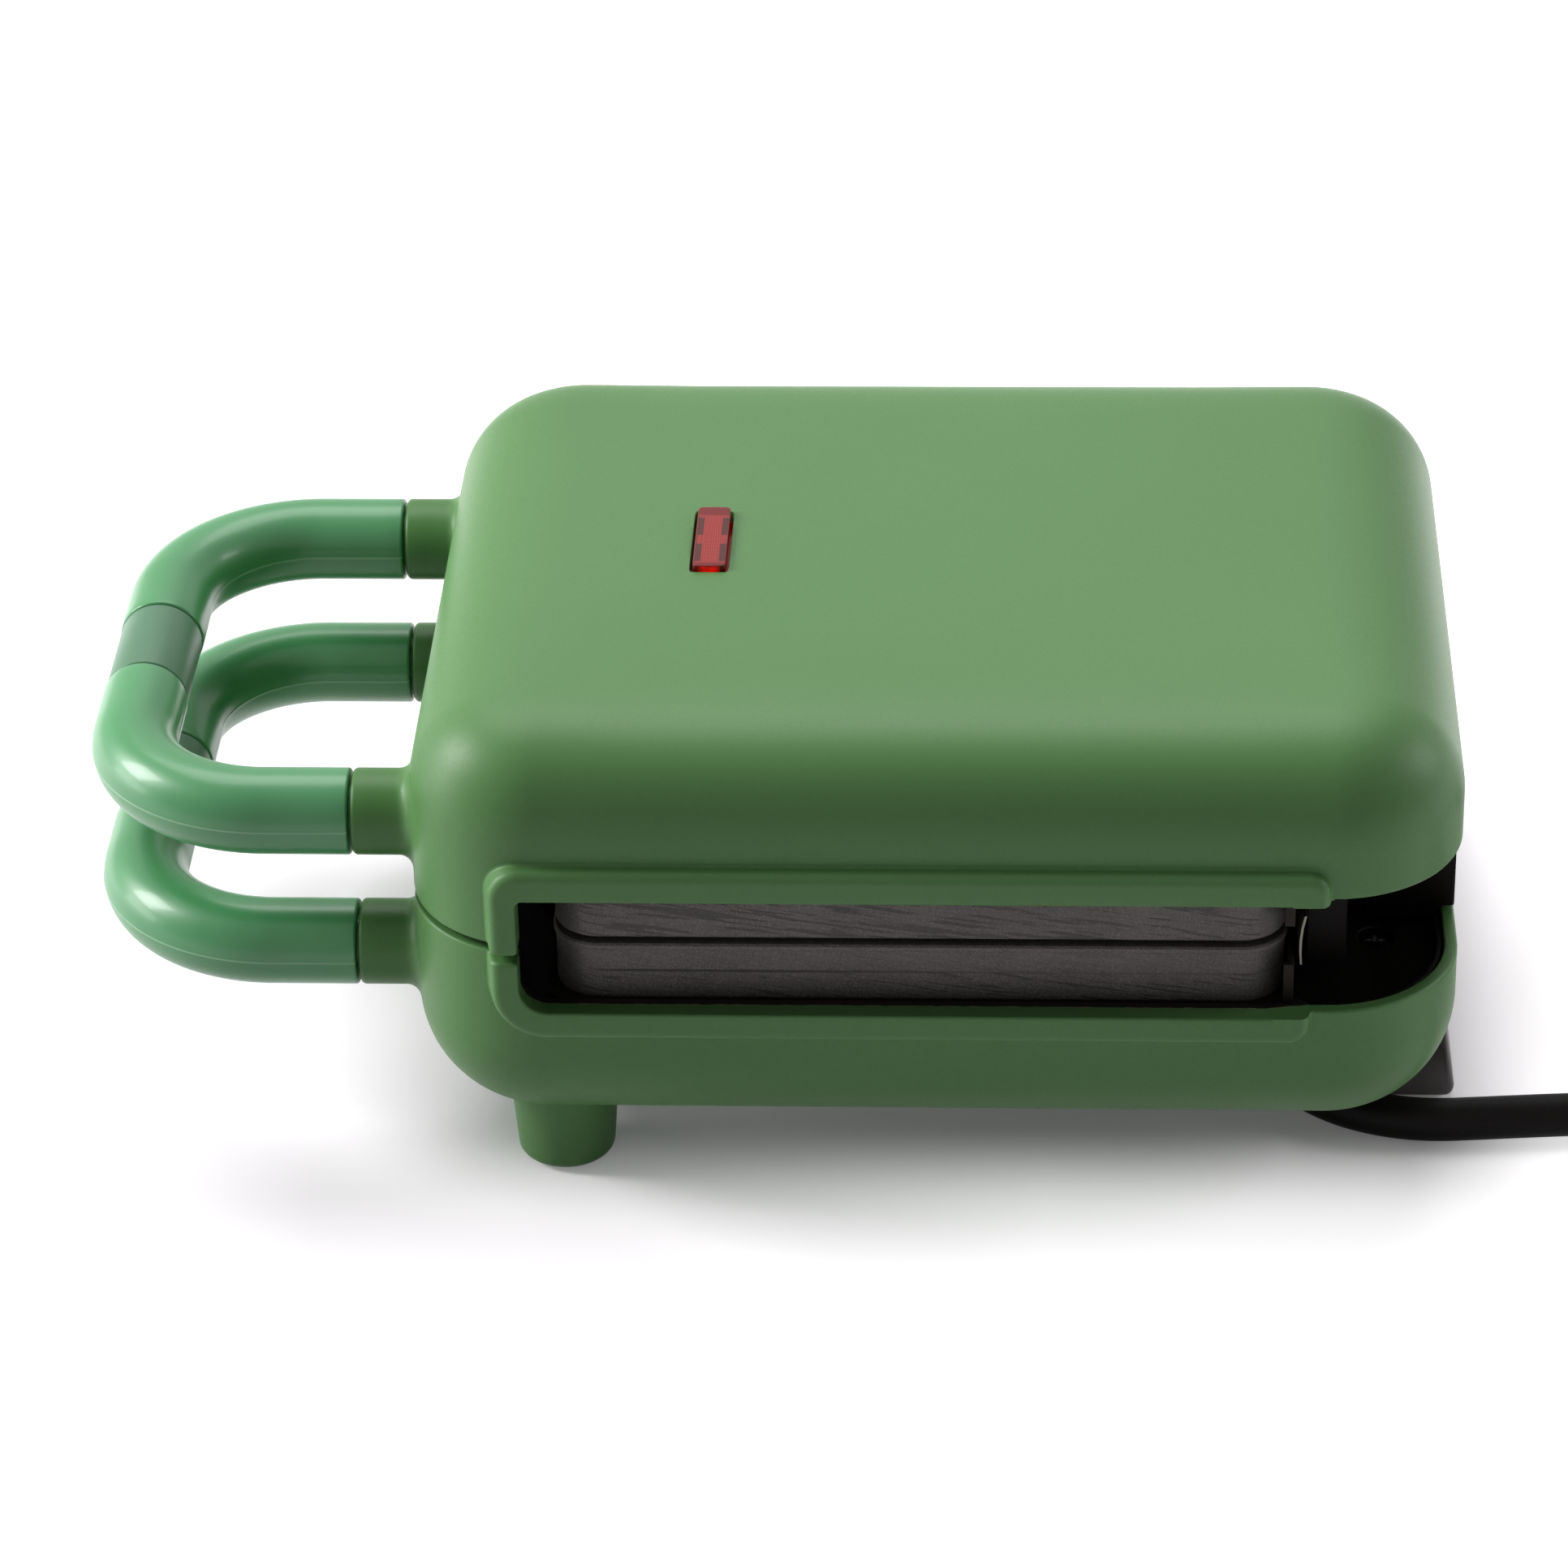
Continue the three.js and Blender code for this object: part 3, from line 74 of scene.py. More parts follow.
# Heights and depths from the parting plane, and the sizes of window and rim
halves = {
    "lid": {"height": 39.5, "round": 18.8, "ease": 4.5, "edge": 11.7, "windowCorner": 1.2, "band": 5.7,
            "rimCorner": 5.5, "rimEnd": 68, "handle": 12.4},
    "base": {"height": 41.8, "round": 21.4, "ease": 0, "edge": 11, "windowCorner": 5, "band": 5.5,
             "rimCorner": 9.5, "rimEnd": 65, "handle": 14.7},
}
shell = {
    "windowStart": -71.8, "rimProud": 2.7, "rimLeg": 4.9, "rimRound": 1.9, "rimRoot": 0.5, "rimTurn": 80,
    "rimInset": 1.8, "windowRound": 0.5, "endCorner": 3.6, "edgeRound": 0.55, "innerRound": 0.3,
    "partingRound": 0.8, "cornerSteps": 36, "spacing": 2.6, "easeReach": 24, "easePower": 6,
}
startZ = body["partingGap"] / 2
plate = {
    "centre": -2.55, "halfX": 63.65, "halfY": 72.4, "corner": 8, "face": 0.5, "depth": 11.6, "rim": 9,
    "recess": 7, "recessRound": 4, "edge": 0.7, "backEdge": 0.9, "floor": 2.8, "skirt": 3.6,
    "ledge": 0.4, "ledgeDepth": 1.3,
}
lens = {"halfX": 2.95, "halfY": 11.1, "corner": 1.0, "top": 40.6, "edge": 0.22, "seat": 36.9, "flange": 2.0,
        "flangeHeight": 1.2}


# Mesh tools

def fullTurn(steps):
    return np.arange(steps) * 2 * math.pi / steps


def quarter(steps):
    return np.linspace(0, math.pi / 2, steps)


# A smooth step from 0 to 1: three squares less two cubes
def eased(share):
    return share * share * (3 - 2 * share)


# Points of an arc about a middle, from one angle to another in degrees
def arc(x, y, radius, start, end, steps):
    turn = np.radians(np.linspace(start, end, steps))
    return list(zip(x + radius * np.cos(turn), y + radius * np.sin(turn)))


# Unit circles: the cosine along one axis and the sine along the other, for one pair of axes or many
def circles(turn, side, over):
    side, over = np.asarray(side)[..., None, :], np.asarray(over)[..., None, :]
    return np.cos(turn)[:, None] * side + np.sin(turn)[:, None] * over


# Two unit vectors across an axis
def acrossAxis(axis):
    side = np.cross(axis, [0, 0, 1] if abs(axis[2]) < 0.9 else [1, 0, 0])
    side = side / np.linalg.norm(side)
    return side, np.cross(axis, side)


# A part is a grid of points with its faces: neighbours are joined into quads, round the back along
# each row, and from the last row to the first where the rows are closed too
def gridPart(grid, closedRows=False):
    rows, columns = grid.shape[:2]
    r = np.arange(rows if closedRows else rows - 1)[:, None]
    c = np.arange(columns)[None, :]
    nextR, nextC = (r + 1) % rows, (c + 1) % columns
    corners = [r * columns + c, r * columns + nextC, nextR * columns + nextC, nextR * columns + c]
    return grid.reshape(-1, 3), np.stack(np.broadcast_arrays(*corners), -1).reshape(-1, 4).tolist()


# Ends of rings that shrink to their own middle, so that a turned or swept part has closed poles
def withPoles(grid):
    middle = grid.mean(axis=1, keepdims=True)
    return np.concatenate([np.broadcast_to(middle[:1], grid[:1].shape), grid,
                           np.broadcast_to(middle[-1:], grid[-1:].shape)])


# Merges doubles, drops faces without area and turns every face outwards
def seal(mesh, distance=2e-6):
    bm = bmesh.new()
    bm.from_mesh(mesh)
    bmesh.ops.remove_doubles(bm, verts=bm.verts, dist=distance)
    bmesh.ops.dissolve_degenerate(bm, edges=bm.edges, dist=distance)
    bmesh.ops.recalc_face_normals(bm, faces=bm.faces)
    bm.to_mesh(mesh)
    bm.free()


# Shades a mesh and makes it a piece on its body, with its own finish or its slot's, and hides the nodes it stands
# for.
# A piece without a name of its own is called after its node: lid_plate becomes lidPlate.
def settle(mesh, rideBody, slotName, nodes, name, finish, sharp):
    first, *others = nodes[0].split("_")
    name = name or first + "".join(word.capitalize() for word in others)
    mesh.name = name
    mesh.shade_smooth()
    mesh.set_sharp_from_angle(angle=math.radians(sharp))
    mesh.materials.clear()
    mesh.materials.append(finish or slotFinishes[slotName])
    piece = bpy.data.objects.new(name, mesh)
    bpy.context.scene.collection.objects.link(piece)
    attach(piece, rideBody)
    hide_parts(*nodes)
    return piece


# Puts the parts of one piece into one mesh in the shared frame
def makePiece(parts, rideBody, slotName, nodes, name=None, finish=None, sharp=34):
    points, faces, start = [], [], 0
    for partPoints, partFaces in parts:
        points.append(partPoints)
        faces += [[start + i for i in face] for face in partFaces]
        start += len(partPoints)
    mesh = bpy.data.meshes.new(nodes[0])
    mesh.from_pydata(((np.concatenate(points) + bodyOrigin) / 1000).tolist(), [], faces)
    seal(mesh)
    return settle(mesh, rideBody, slotName, nodes, name, finish, sharp)


# A merged copy of a CAD node with its flat faces joined and its edges broken
def refine(node, rideBody, slotName, edge, name=None, finish=None):
    mesh = frame["nodes"][node].data.copy()
    bm = bmesh.new()
    bm.from_mesh(mesh)
    bmesh.ops.remove_doubles(bm, verts=bm.verts, dist=2e-6)
    bmesh.ops.dissolve_limit(bm, angle_limit=math.radians(1), verts=bm.verts, edges=bm.edges)
    bm.to_mesh(mesh)
    bm.free()
    piece = settle(mesh, rideBody, slotName, [node], name, finish, 34)
    if edge:
        bevel = piece.modifiers.new("edge", "BEVEL")
        bevel.width, bevel.segments = edge / 1000, 2
        bevel.limit_method, bevel.angle_limit = "ANGLE", math.radians(35)
    return piece


# Columns round a rounded rectangle: a foot on the rectangle of corner centres and a unit normal each
def outlineColumns(halfX, halfY, corner, cornerSteps, spacing):
    x, y = halfX - corner, halfY - corner
    centres = np.array([[x, -y], [x, y], [-x, y], [-x, -y], [x, -y]])
    feet, normals = [], []
    for k in range(4):
        start, end = centres[k], centres[k + 1]
        steps = max(2, round(np.linalg.norm(end - start) / spacing))
        share = np.linspace(0, 1, steps, endpoint=False)[:, None]
        turn = (k + np.linspace(0, 1, cornerSteps, endpoint=False)) * math.pi / 2
        feet += [start + (end - start) * share, np.repeat(end[None], cornerSteps, 0)]
        side = np.array([[math.cos(k * math.pi / 2), math.sin(k * math.pi / 2)]])
        normals += [np.repeat(side, steps, 0), np.stack([np.cos(turn), np.sin(turn)], -1)]
    return np.concatenate(feet), np.concatenate(normals)


# Rows of a block over such columns: each is the outline moved in by an inset, at a height
def outlineGrid(feet, normals, corner, rows):
    insets, heights = np.array(rows, float).T
    flat = feet[None] + normals[None] * (corner - insets)[:, None, None]
    return np.dstack([flat, np.broadcast_to(heights[:, None], flat.shape[:2])])


# A profile of (radius, along) points turned about an axis line through a start point
def turnedPart(profile, start, axis, sides=48):
    radii, along = np.array(profile, float).T[:, :, None, None]
    rings = along * np.array(axis, float) + radii * circles(fullTurn(sides), *acrossAxis(axis))
    return gridPart(withPoles(np.array(start, float) + rings))


print("mesh tools ready")


# Material tools

# A socket with operators: each expression adds one Math node
class Value:
    def __init__(self, graph, socket):
        self.graph, self.socket = graph, socket

    def join(self, operation, first, second):
        return self.graph.node("Math", {"operation": operation}, {0: first, 1: second})

    def __add__(self, other):
        return self.join("ADD", self, other)

    def __sub__(self, other):
        return self.join("SUBTRACT", self, other)

    def __rsub__(self, other):
        return self.join("SUBTRACT", other, self)

    def __mul__(self, other):
        return self.join("MULTIPLY", self, other)

    def __pow__(self, other):
        return self.join("POWER", self, other)

    def __gt__(self, other):
        return self.join("GREATER_THAN", self, other)

    def __lt__(self, other):
        return self.join("LESS_THAN", self, other)

    def __abs__(self):
        return self.join("ABSOLUTE", self, 0)

    __radd__ = __add__
    __rmul__ = __mul__


# A node tree and the nodes made in it
class Graph:
    def __init__(self, tree):
        self.tree = tree
        tree.nodes.clear()

    def feed(self, socket, value):
        if isinstance(value, Value):
            self.tree.links.new(value.socket, socket)
        else:
            socket.default_value = value

    # Any node: its type, its settings, then the values or links of its sockets
    def node(self, kind, settings, sockets, out=0):
        made = self.tree.nodes.new("ShaderNode" + kind)
        for key, value in settings.items():
            setattr(made, key, value)
        for key, value in sockets.items():
            self.feed(made.inputs[key], value)
        return Value(self, made.outputs[out]) if made.outputs else None

    # Steps from 0 to 1 as a value passes from low to high
    def ramp(self, value, low, high):
        return self.node("MapRange", {"clamp": True}, {"Value": value, "From Min": low, "From Max": high})

    # 1 where a value is within a half width of 0, falling over a soft edge
    def band(self, value, half, soft):
        return self.ramp(abs(value), half + soft, half - soft)

    # 1 for rays of the camera and of mirror-like and clear surfaces, 0 for the rays that light things
    def looking(self):
        rays = [self.node("LightPath", {}, {}, f"Is {kind} Ray") for kind in ("Camera", "Glossy", "Transmission")]
        return self.ramp(rays[0] + rays[1] + rays[2], 0, 1)


# One material: its Principled shader and the nodes that feed it
class Finish(Graph):
    def __init__(self, name, **constants):
        self.material = bpy.data.materials.new(name)
        self.material.use_nodes = True
        super().__init__(self.material.node_tree)
        shader = self.node("BsdfPrincipled", {}, {})
        self.node("OutputMaterial", {}, {0: shader})
        self.shader = shader.socket.node
        self.dress(**constants)
        self.place = self.node("TexCoord", {}, {}, "Object")

    # Clouds of one size, drawn out by a stretch along the axes of a turned frame
    def noise(self, scale, detail=3, stretch=(1, 1, 1), turn=(0, 0, 0), distortion=0):
        spot = self.node("Mapping", {"vector_type": "TEXTURE"},
                         {"Vector": self.place, "Scale": stretch, "Rotation": turn})
        return self.node("TexNoise", {}, {"Vector": spot, "Scale": scale, "Detail": detail,
                                          "Distortion": distortion}, "Fac")

    def blend(self, share, first, second):
        return self.node("Mix", {"data_type": "RGBA"}, {0: share, 6: first, 7: second}, 2)

    # Clouds of a shade in a colour, both written as they show
    def mottled(self, clouds, colour, shade):
        return self.blend(self.ramp(clouds, 0.3, 0.7), shown(*shade), shown(*colour))

    # Place along an axis in the body's own frame, in millimetres
    def along(self, axis):
        spot = self.node("SeparateXYZ", {}, {0: self.place}, axis)
        return spot * 1000 - bodyOrigin["XYZ".index(axis)]

    def bump(self, height, strength, distance):
        return self.node("Bump", {}, {"Height": height, "Strength": strength, "Distance": distance})

    def dress(self, **sockets):
        for socket, value in sockets.items():
            self.feed(self.shader.inputs[socket.replace("_", " ")], value)
        return self.material


# A colour written as it shows, from 0 to 255, made linear
def shown(red, green, blue):
    part = [c / 255 for c in (red, green, blue)]
    return tuple(c / 12.92 if c <= 0.04045 else ((c + 0.055) / 1.055) ** 2.4 for c in part) + (1,)


finishes = {
    "shell": {"colour": (87, 131, 76), "shade": (81, 125, 70), "collar": (58, 104, 46), "dents": (64, 104, 54),
              "liner": (6, 4, 3), "bare": (150, 140, 116), "lip": 75.7, "drawnIn": 1.6, "roughness": 0.44,
              "grain": 0.12, "specular": 0.34},
    "handle": {"colour": (75, 147, 93), "shade": (64, 135, 81), "line": (150, 196, 156), "roughness": 0.3,
               "specular": 0.5},
    "sleeve": {"colour": (84, 124, 96), "shade": (76, 117, 88), "roughness": 0.36, "specular": 0.4},
    "liner": {"colour": (14, 11, 9), "roughness": 0.38, "specular": 0.06, "grain": 1500, "relief": 0.3},
    "stand": {"colour": (80, 73, 69), "roughness": 0.28, "specular": 0.8, "grain": 1500, "relief": 0.06},
    "rubber": {"colour": (30, 29, 28), "roughness": 0.7, "specular": 0.3, "grain": 900, "relief": 0.5},
    "cord": {"colour": (12, 9, 8), "roughness": 0.5, "specular": 0.1, "grain": 1300, "relief": 0.35},
    "plate": {"colour": (112, 106, 104), "shade": (66, 61, 60), "sand": (158, 150, 146), "face": (58, 54, 53),
              "cut": (24, 21, 20), "roughness": 0.5, "specular": 0.4, "lineDepth": 6.2, "lineStart": -61,
              "lineFade": -8},
    "shield": {"colour": (36, 30, 25), "shade": (26, 22, 18), "roughness": 0.4, "specular": 0.1},
    "steel": {"colour": (196, 196, 192), "shade": (168, 168, 166), "roughness": 0.2, "stretch": (14, 14, 1)},
    "spring": {"colour": (104, 102, 92), "shade": (88, 86, 78), "roughness": 0.36, "stretch": (14, 14, 1)},
    "screw": {"colour": (58, 56, 54), "shade": (40, 38, 37), "roughness": 0.26, "stretch": (1, 1, 1)},
    "brass": {"colour": (186, 150, 84), "shade": (160, 124, 62), "roughness": 0.22, "stretch": (14, 1, 14)},
    "glass": {"colour": (240, 214, 198), "shade": (226, 190, 170), "roughness": 0.08},
    "ceramic": {"colour": (228, 223, 214), "shade": (212, 205, 194), "roughness": 0.5},
    "lens": {"colour": (116, 14, 12), "deep": (46, 18, 18), "mesh": (206, 70, 64), "wall": (90, 0, 0),
             "glow": (192, 4, 2), "meshStep": 0.00042, "roughness": 0.14, "specular": 0.3},
}
# The lamp's sockets under the lens: the middle of the four, their distance from it and half sizes
lampSockets = {"x": 0.06, "y": -1.3, "apartX": 2.2, "apartY": 4.9, "halfX": 0.56, "halfY": 3.3}


# Painted moulding: two close greens in slow clouds, a fine grain and dust-fine dents
def shellFinish():
    values = finishes["shell"]
    f = Finish("shellGreen", IOR=1.45, Specular_IOR_Level=values["specular"])
    clouds, grain, speck = f.noise(9, 3), f.noise(1900, 2), f.noise(420, 1)
    x, height, base = f.along("X"), f.along("Z"), halves["base"]
    tone = f.mottled(clouds, values["colour"], values["shade"])
    # painted shade: over the collars the colour is blended towards a deeper green, for the shade they sit in
    tone = f.blend(f.ramp(x, -halfLength - 0.5, -halfLength - 3) * 0.7, tone, shown(*values["collar"]))
    tone = f.blend(f.ramp(grain, 0.35, 0.65) * values["grain"], tone, shown(*values["dents"]))
    # the inner part of the base window's sill is painted black up to a fine line, and the black draws in where the
    # rim ends; along that line runs a pale painted highlight, broken by specks
    sill = (height > -base["edge"] - 0.9) * (height < -startZ) * (abs(x) < 0.1 - shell["windowStart"])
    drawn = f.ramp(x, base["rimEnd"] - 7, base["rimEnd"] + 2) * values["drawnIn"]
    reach = abs(f.along("Y")) - values["lip"] + drawn
    # painted highlight: a thin pale line along the black's edge, broken by specks
    bare = f.band(reach, 0.13, 0.05) * f.ramp(speck, 0.42, 0.62)
    tone = f.blend(sill * (reach < 0), tone, shown(*values["liner"]))
    tone = f.blend(sill * bare * 0.7, tone, shown(*values["bare"]))
    rough = values["roughness"] + (grain - 0.5) * 0.14 + (clouds - 0.5) * 0.06
    return f.dress(Base_Color=tone, Roughness=rough, Normal=f.bump(grain * 0.7 + speck * 0.3, 0.3, 0.00006))


# Glossy moulding: mottled colour and a slight waviness
def handleFinish():
    values = finishes["handle"]
    f = Finish("handleGreen", IOR=1.5, Coat_Roughness=0.08, Specular_IOR_Level=values["specular"])
    clouds, waves, grain = f.noise(26, 4, distortion=0.4), f.noise(95, 2), f.noise(1400, 2)
    tone = f.mottled(clouds, values["colour"], values["shade"])
    # painted highlight: paler where the mould's halves met, in the middle plane of each handle, for the light the
    # small ridge there catches; the ridge itself is modelled
    upper, lower = halves["lid"]["handle"], halves["base"]["handle"]
    fromMiddle = abs(f.along("Z") - (upper - lower) / 2) - (upper + lower) / 2
    tone = f.blend(f.band(fromMiddle, 0.16, 0.06) * 0.6, tone, shown(*values["line"]))
    return f.dress(Base_Color=tone, Roughness=values["roughness"] + clouds * 0.08 + grain * 0.04,
                   Coat_Weight=0.08 + clouds * 0.08, Normal=f.bump(waves * 0.8 + grain * 0.2, 0.2, 0.0001))


def sleeveFinish():
    values = finishes["sleeve"]
    f = Finish("sleeveGreen", IOR=1.45, Specular_IOR_Level=values["specular"])
    clouds, grain = f.noise(30, 3), f.noise(1700, 2)
    return f.dress(Base_Color=f.mottled(clouds, values["colour"], values["shade"]),
                   Roughness=values["roughness"] + grain * 0.12, Normal=f.bump(grain, 0.25, 0.00006))


# Black moulding with the fine spark-eroded grain of a tool, three quarters as light in its clouds
def blackFinish(name, kind):
    values = finishes[kind]
    f = Finish(name, IOR=1.48, Specular_IOR_Level=values["specular"])
    clouds, grain = f.noise(40, 3), f.noise(values["grain"], 2)
    shade = [c * 0.75 for c in values["colour"]]
    rough = values["roughness"] + (grain - 0.5) * 0.2 + clouds * 0.08
    return f.dress(Base_Color=f.mottled(clouds, values["colour"], shade), Roughness=rough,
                   Normal=f.bump(grain, values["relief"], 0.00008))


# Non-stick coating over a milled casting: slanting tool streaks, a sandy grain, and on the base plate a
# fine line with a smoother band above it
def plateFinish():
    values = finishes["plate"]
    f = Finish("plateCoating", IOR=1.5, Specular_IOR_Level=values["specular"])
    slant = (0, math.radians(8.5), 0)
    wide, fine = f.noise(1350, 4, (17, 17, 1), slant, 0.3), f.noise(2600, 3, (24, 24, 1), slant, 0.2)
    grain, sand, clouds = f.noise(2600, 2), f.noise(5200, 1), f.noise(70, 3)
    x, height, depth = f.along("X"), f.along("Z"), values["lineDepth"]
    # the tool ran along the plates' sides; their cooking faces are darker and only grained
    overX = abs(x - plate["centre"]) - plate["halfX"] + 0.5
    overY = abs(f.along("Y")) - plate["halfY"] + 0.5
    side = f.ramp(f.ramp(overX, -0.4, 0) + f.ramp(overY, -0.4, 0), 0, 1)
    smooth = (height > -depth) * (height < 0)
    streak = f.ramp(wide, 0.45, 0.38) * (1 - smooth * 0.85) * side
    run = f.ramp(x, values["lineStart"], values["lineStart"] + 6)
    fade = 1 - f.ramp(x, values["lineFade"] - 20, values["lineFade"] + 20) * 0.7
    line = f.band(height + depth, 0.26, 0.1) * run * fade
    fine = f.node("Mix", {}, {0: side, 2: grain, 3: fine})
    tone = f.ramp(fine * 0.35 + grain * 0.4 + clouds * 0.25, 0.36, 0.62)
    tone = f.blend(tone, shown(*values["shade"]), shown(*values["colour"]))
    tone = f.blend(f.ramp(sand, 0.58, 0.72) * 0.6, tone, shown(*values["sand"]))
    tone = f.blend(side * -0.5 + 0.5, tone, shown(*values["face"]))
    tone = f.blend(f.ramp(streak * 0.7 + line, 0, 1), tone, shown(*values["cut"]))
    return f.dress(Base_Color=tone, Roughness=values["roughness"] + grain * 0.16,
                   Normal=f.bump(fine * 0.3 + grain * 0.5 - streak * 0.8 - line, 0.6, 0.00016))


# Rolled sheet darkened by heat
def shieldFinish():
    values = finishes["shield"]
    f = Finish("heatShield", IOR=1.5, Specular_IOR_Level=values["specular"])
    rolled, clouds = f.noise(1900, 3, (12, 1, 12)), f.noise(22, 4)
    return f.dress(Base_Color=f.mottled(clouds, values["colour"], values["shade"]),
                   Roughness=values["roughness"] + rolled * 0.2, Normal=f.bump(rolled, 0.2, 0.00008))


def metalFinish(name, kind):
    values = finishes[kind]
    f = Finish(name, Metallic=1.0)
    brushed, clouds = f.noise(4400, 3, values["stretch"]), f.noise(60, 3)
    return f.dress(Base_Color=f.mottled(clouds, values["colour"], values["shade"]),
                   Roughness=values["roughness"] + brushed * 0.16, Normal=f.bump(brushed, 0.15, 0.00005))


def paleFinish(name, kind):
    values = finishes[kind]
    f = Finish(name, IOR=1.5)
    clouds, grain = f.noise(120, 4), f.noise(1600, 3)
    return f.dress(Base_Color=f.mottled(clouds, values["colour"], values["shade"]),
                   Roughness=values["roughness"] + grain * 0.15, Normal=f.bump(grain, 0.3, 0.00008))


# Clear red moulding: under its top the four dark sockets and a fine mesh, its walls glowing in their middle
def lensFinish():
    values, s = finishes["lens"], lampSockets
    f = Finish("lensRed", IOR=1.49, Roughness=values["roughness"], Specular_IOR_Level=values["specular"],
               Emission_Strength=1.0)
    x, y, z = f.along("X") - lampPlace[0], f.along("Y") - lampPlace[1], f.along("Z") - lens["top"]
    spot = f.node("Mapping", {}, {"Vector": f.place, "Scale": (1, 0.6, 1)})
    step = values["meshStep"]
    mesh = f.node("TexBrick", {"offset": 0.0},
                  {"Vector": spot, "Scale": 1.0, "Brick Width": step, "Row Height": step,
                   "Mortar Size": step / 6, "Mortar Smooth": 0.6}, "Fac")
    dark = (f.band(abs(x - s["x"]) - s["apartX"], s["halfX"], 0.06)
            * f.band(abs(y - s["y"]) - s["apartY"], s["halfY"], 0.1))
    inside = f.band(x - 0.15, 2.65, 0.15) * f.band(y + 1.1, 8.9, 0.3)
    wall = 1 - f.ramp(z, -0.3, -0.1)
    glow = wall * (f.band(x, 1.6, 0.6) + f.ramp(x, 2.8, 2.9) * 0.12) * f.ramp(f.noise(500, 2), 0.2, 0.5)
    tone = f.blend(mesh * inside * 0.5 + inside * 0.12, shown(*values["colour"]), shown(*values["mesh"]))
    tone = f.blend(dark * (1 - wall) * 0.8, tone, shown(*values["deep"]))
    tone = f.blend(wall * 0.6, tone, shown(*values["wall"]))
    return f.dress(Base_Color=tone, Emission_Color=f.blend(glow, (0, 0, 0, 1), shown(*values["glow"])),
                   Normal=f.bump(f.noise(700, 2), 0.1, 0.00005))


# The lens finish centres its pattern on the lamp
lensLow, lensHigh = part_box("lamp_lens")
lampPlace = np.array(lensLow + lensHigh) * 500 - bodyOrigin

slotFinishes = {
    "shell_green": shellFinish(), "handle_green": handleFinish(), "sleeve_green": sleeveFinish(),
    "liner_black": blackFinish("linerBlack", "liner"), "stand_black": blackFinish("standBlack", "stand"),
    "pad_rubber": blackFinish("padRubber", "rubber"), "cord_black": blackFinish("cordBlack", "cord"),
    "plate_coating": plateFinish(), "heat_shield": shieldFinish(),
    "steel": metalFinish("brightSteel", "steel"), "plug_brass": metalFinish("plugBrass", "brass"),
    "lens_red": lensFinish(), "lamp_glass": paleFinish("lampGlass", "glass"),
    "ceramic_white": paleFinish("ceramicWhite", "ceramic"),
}
springSteel = metalFinish("springSteel", "spring")
screwSteel = metalFinish("blackenedSteel", "screw")
print("materials ready")


# Camera, floor and light

camera = {
    "lens": 7169.4 / 1932 * 36, "yaw": -2.97, "tilt": 31.0, "roll": -1.21,
    "target": (-29.08, 0, -11.66), "distance": 1077.6,
}
light = {
    "floorHalf": 4.0, "floorColour": 0.5, "floorSeen": (1, 0.94, 1), "floorLift": 0.08, "world": 0.095,
    "floorClear": {"halfX": 0.085, "halfY": 0.05, "reach": 0.032, "left": 0.05, "right": 0.62},
    "aim": (0, 0, 0.04),
}
lamps = {
    "key": {"place": (-0.15, 0.64, 1.27), "size": (1.2, 0.8), "watts": 13},
    "side": {"place": (-1.2, 0.15, 0.72), "size": (0.45, 0.55), "watts": 18},
    "low": {"place": (-1.3, 0.05, 0.2), "size": (0.6, 0.3), "watts": 4},
    "right": {"place": (1.3, 0.25, 0.6), "size": (0.5, 0.5), "watts": 5},
}


# Puts a camera or a lamp in the scene by its directions right, up and back, and its place
def placeHolder(name, data, *columns):
    holder = bpy.data.objects.new(name, data)
    holder.matrix_world = Matrix(np.vstack([np.stack(columns, 1), [0, 0, 0, 1]]).tolist())
    bpy.context.scene.collection.objects.link(holder)
    return holder


# The camera looks along yaw and tilt at the target, and is rolled about that line
def placeCamera():
    yaw, tilt, roll = (math.radians(camera[k]) for k in ("yaw", "tilt", "roll"))
    ahead = np.array([math.sin(yaw) * math.cos(tilt), math.cos(yaw) * math.cos(tilt), -math.sin(tilt)])
    level = np.array([math.cos(yaw), -math.sin(yaw), 0])
    over = np.cross(level, ahead)
    right = math.cos(roll) * level + math.sin(roll) * over
    up = math.cos(roll) * over - math.sin(roll) * level
    spot = (np.array(camera["target"]) + bodyOrigin - ahead * camera["distance"]) / 1000
    data = bpy.data.cameras.new("camera")
    data.lens, data.sensor_width, data.sensor_fit = camera["lens"], 36, "HORIZONTAL"
    data.clip_start, data.clip_end = 0.01, 50
    bpy.context.scene.camera = placeHolder("camera", data, right, up, -ahead, spot)


def placeLamp(name, values):
    data = bpy.data.lights.new(name, "AREA")
    data.shape, data.energy = "RECTANGLE", values["watts"]
    data.size, data.size_y = values["size"]
    spot = np.array(values["place"])
    aim = np.array(light["aim"]) - spot
    aim /= np.linalg.norm(aim)
    side, under = acrossAxis(aim)
    placeHolder(name, data, side, -under, -aim, spot)


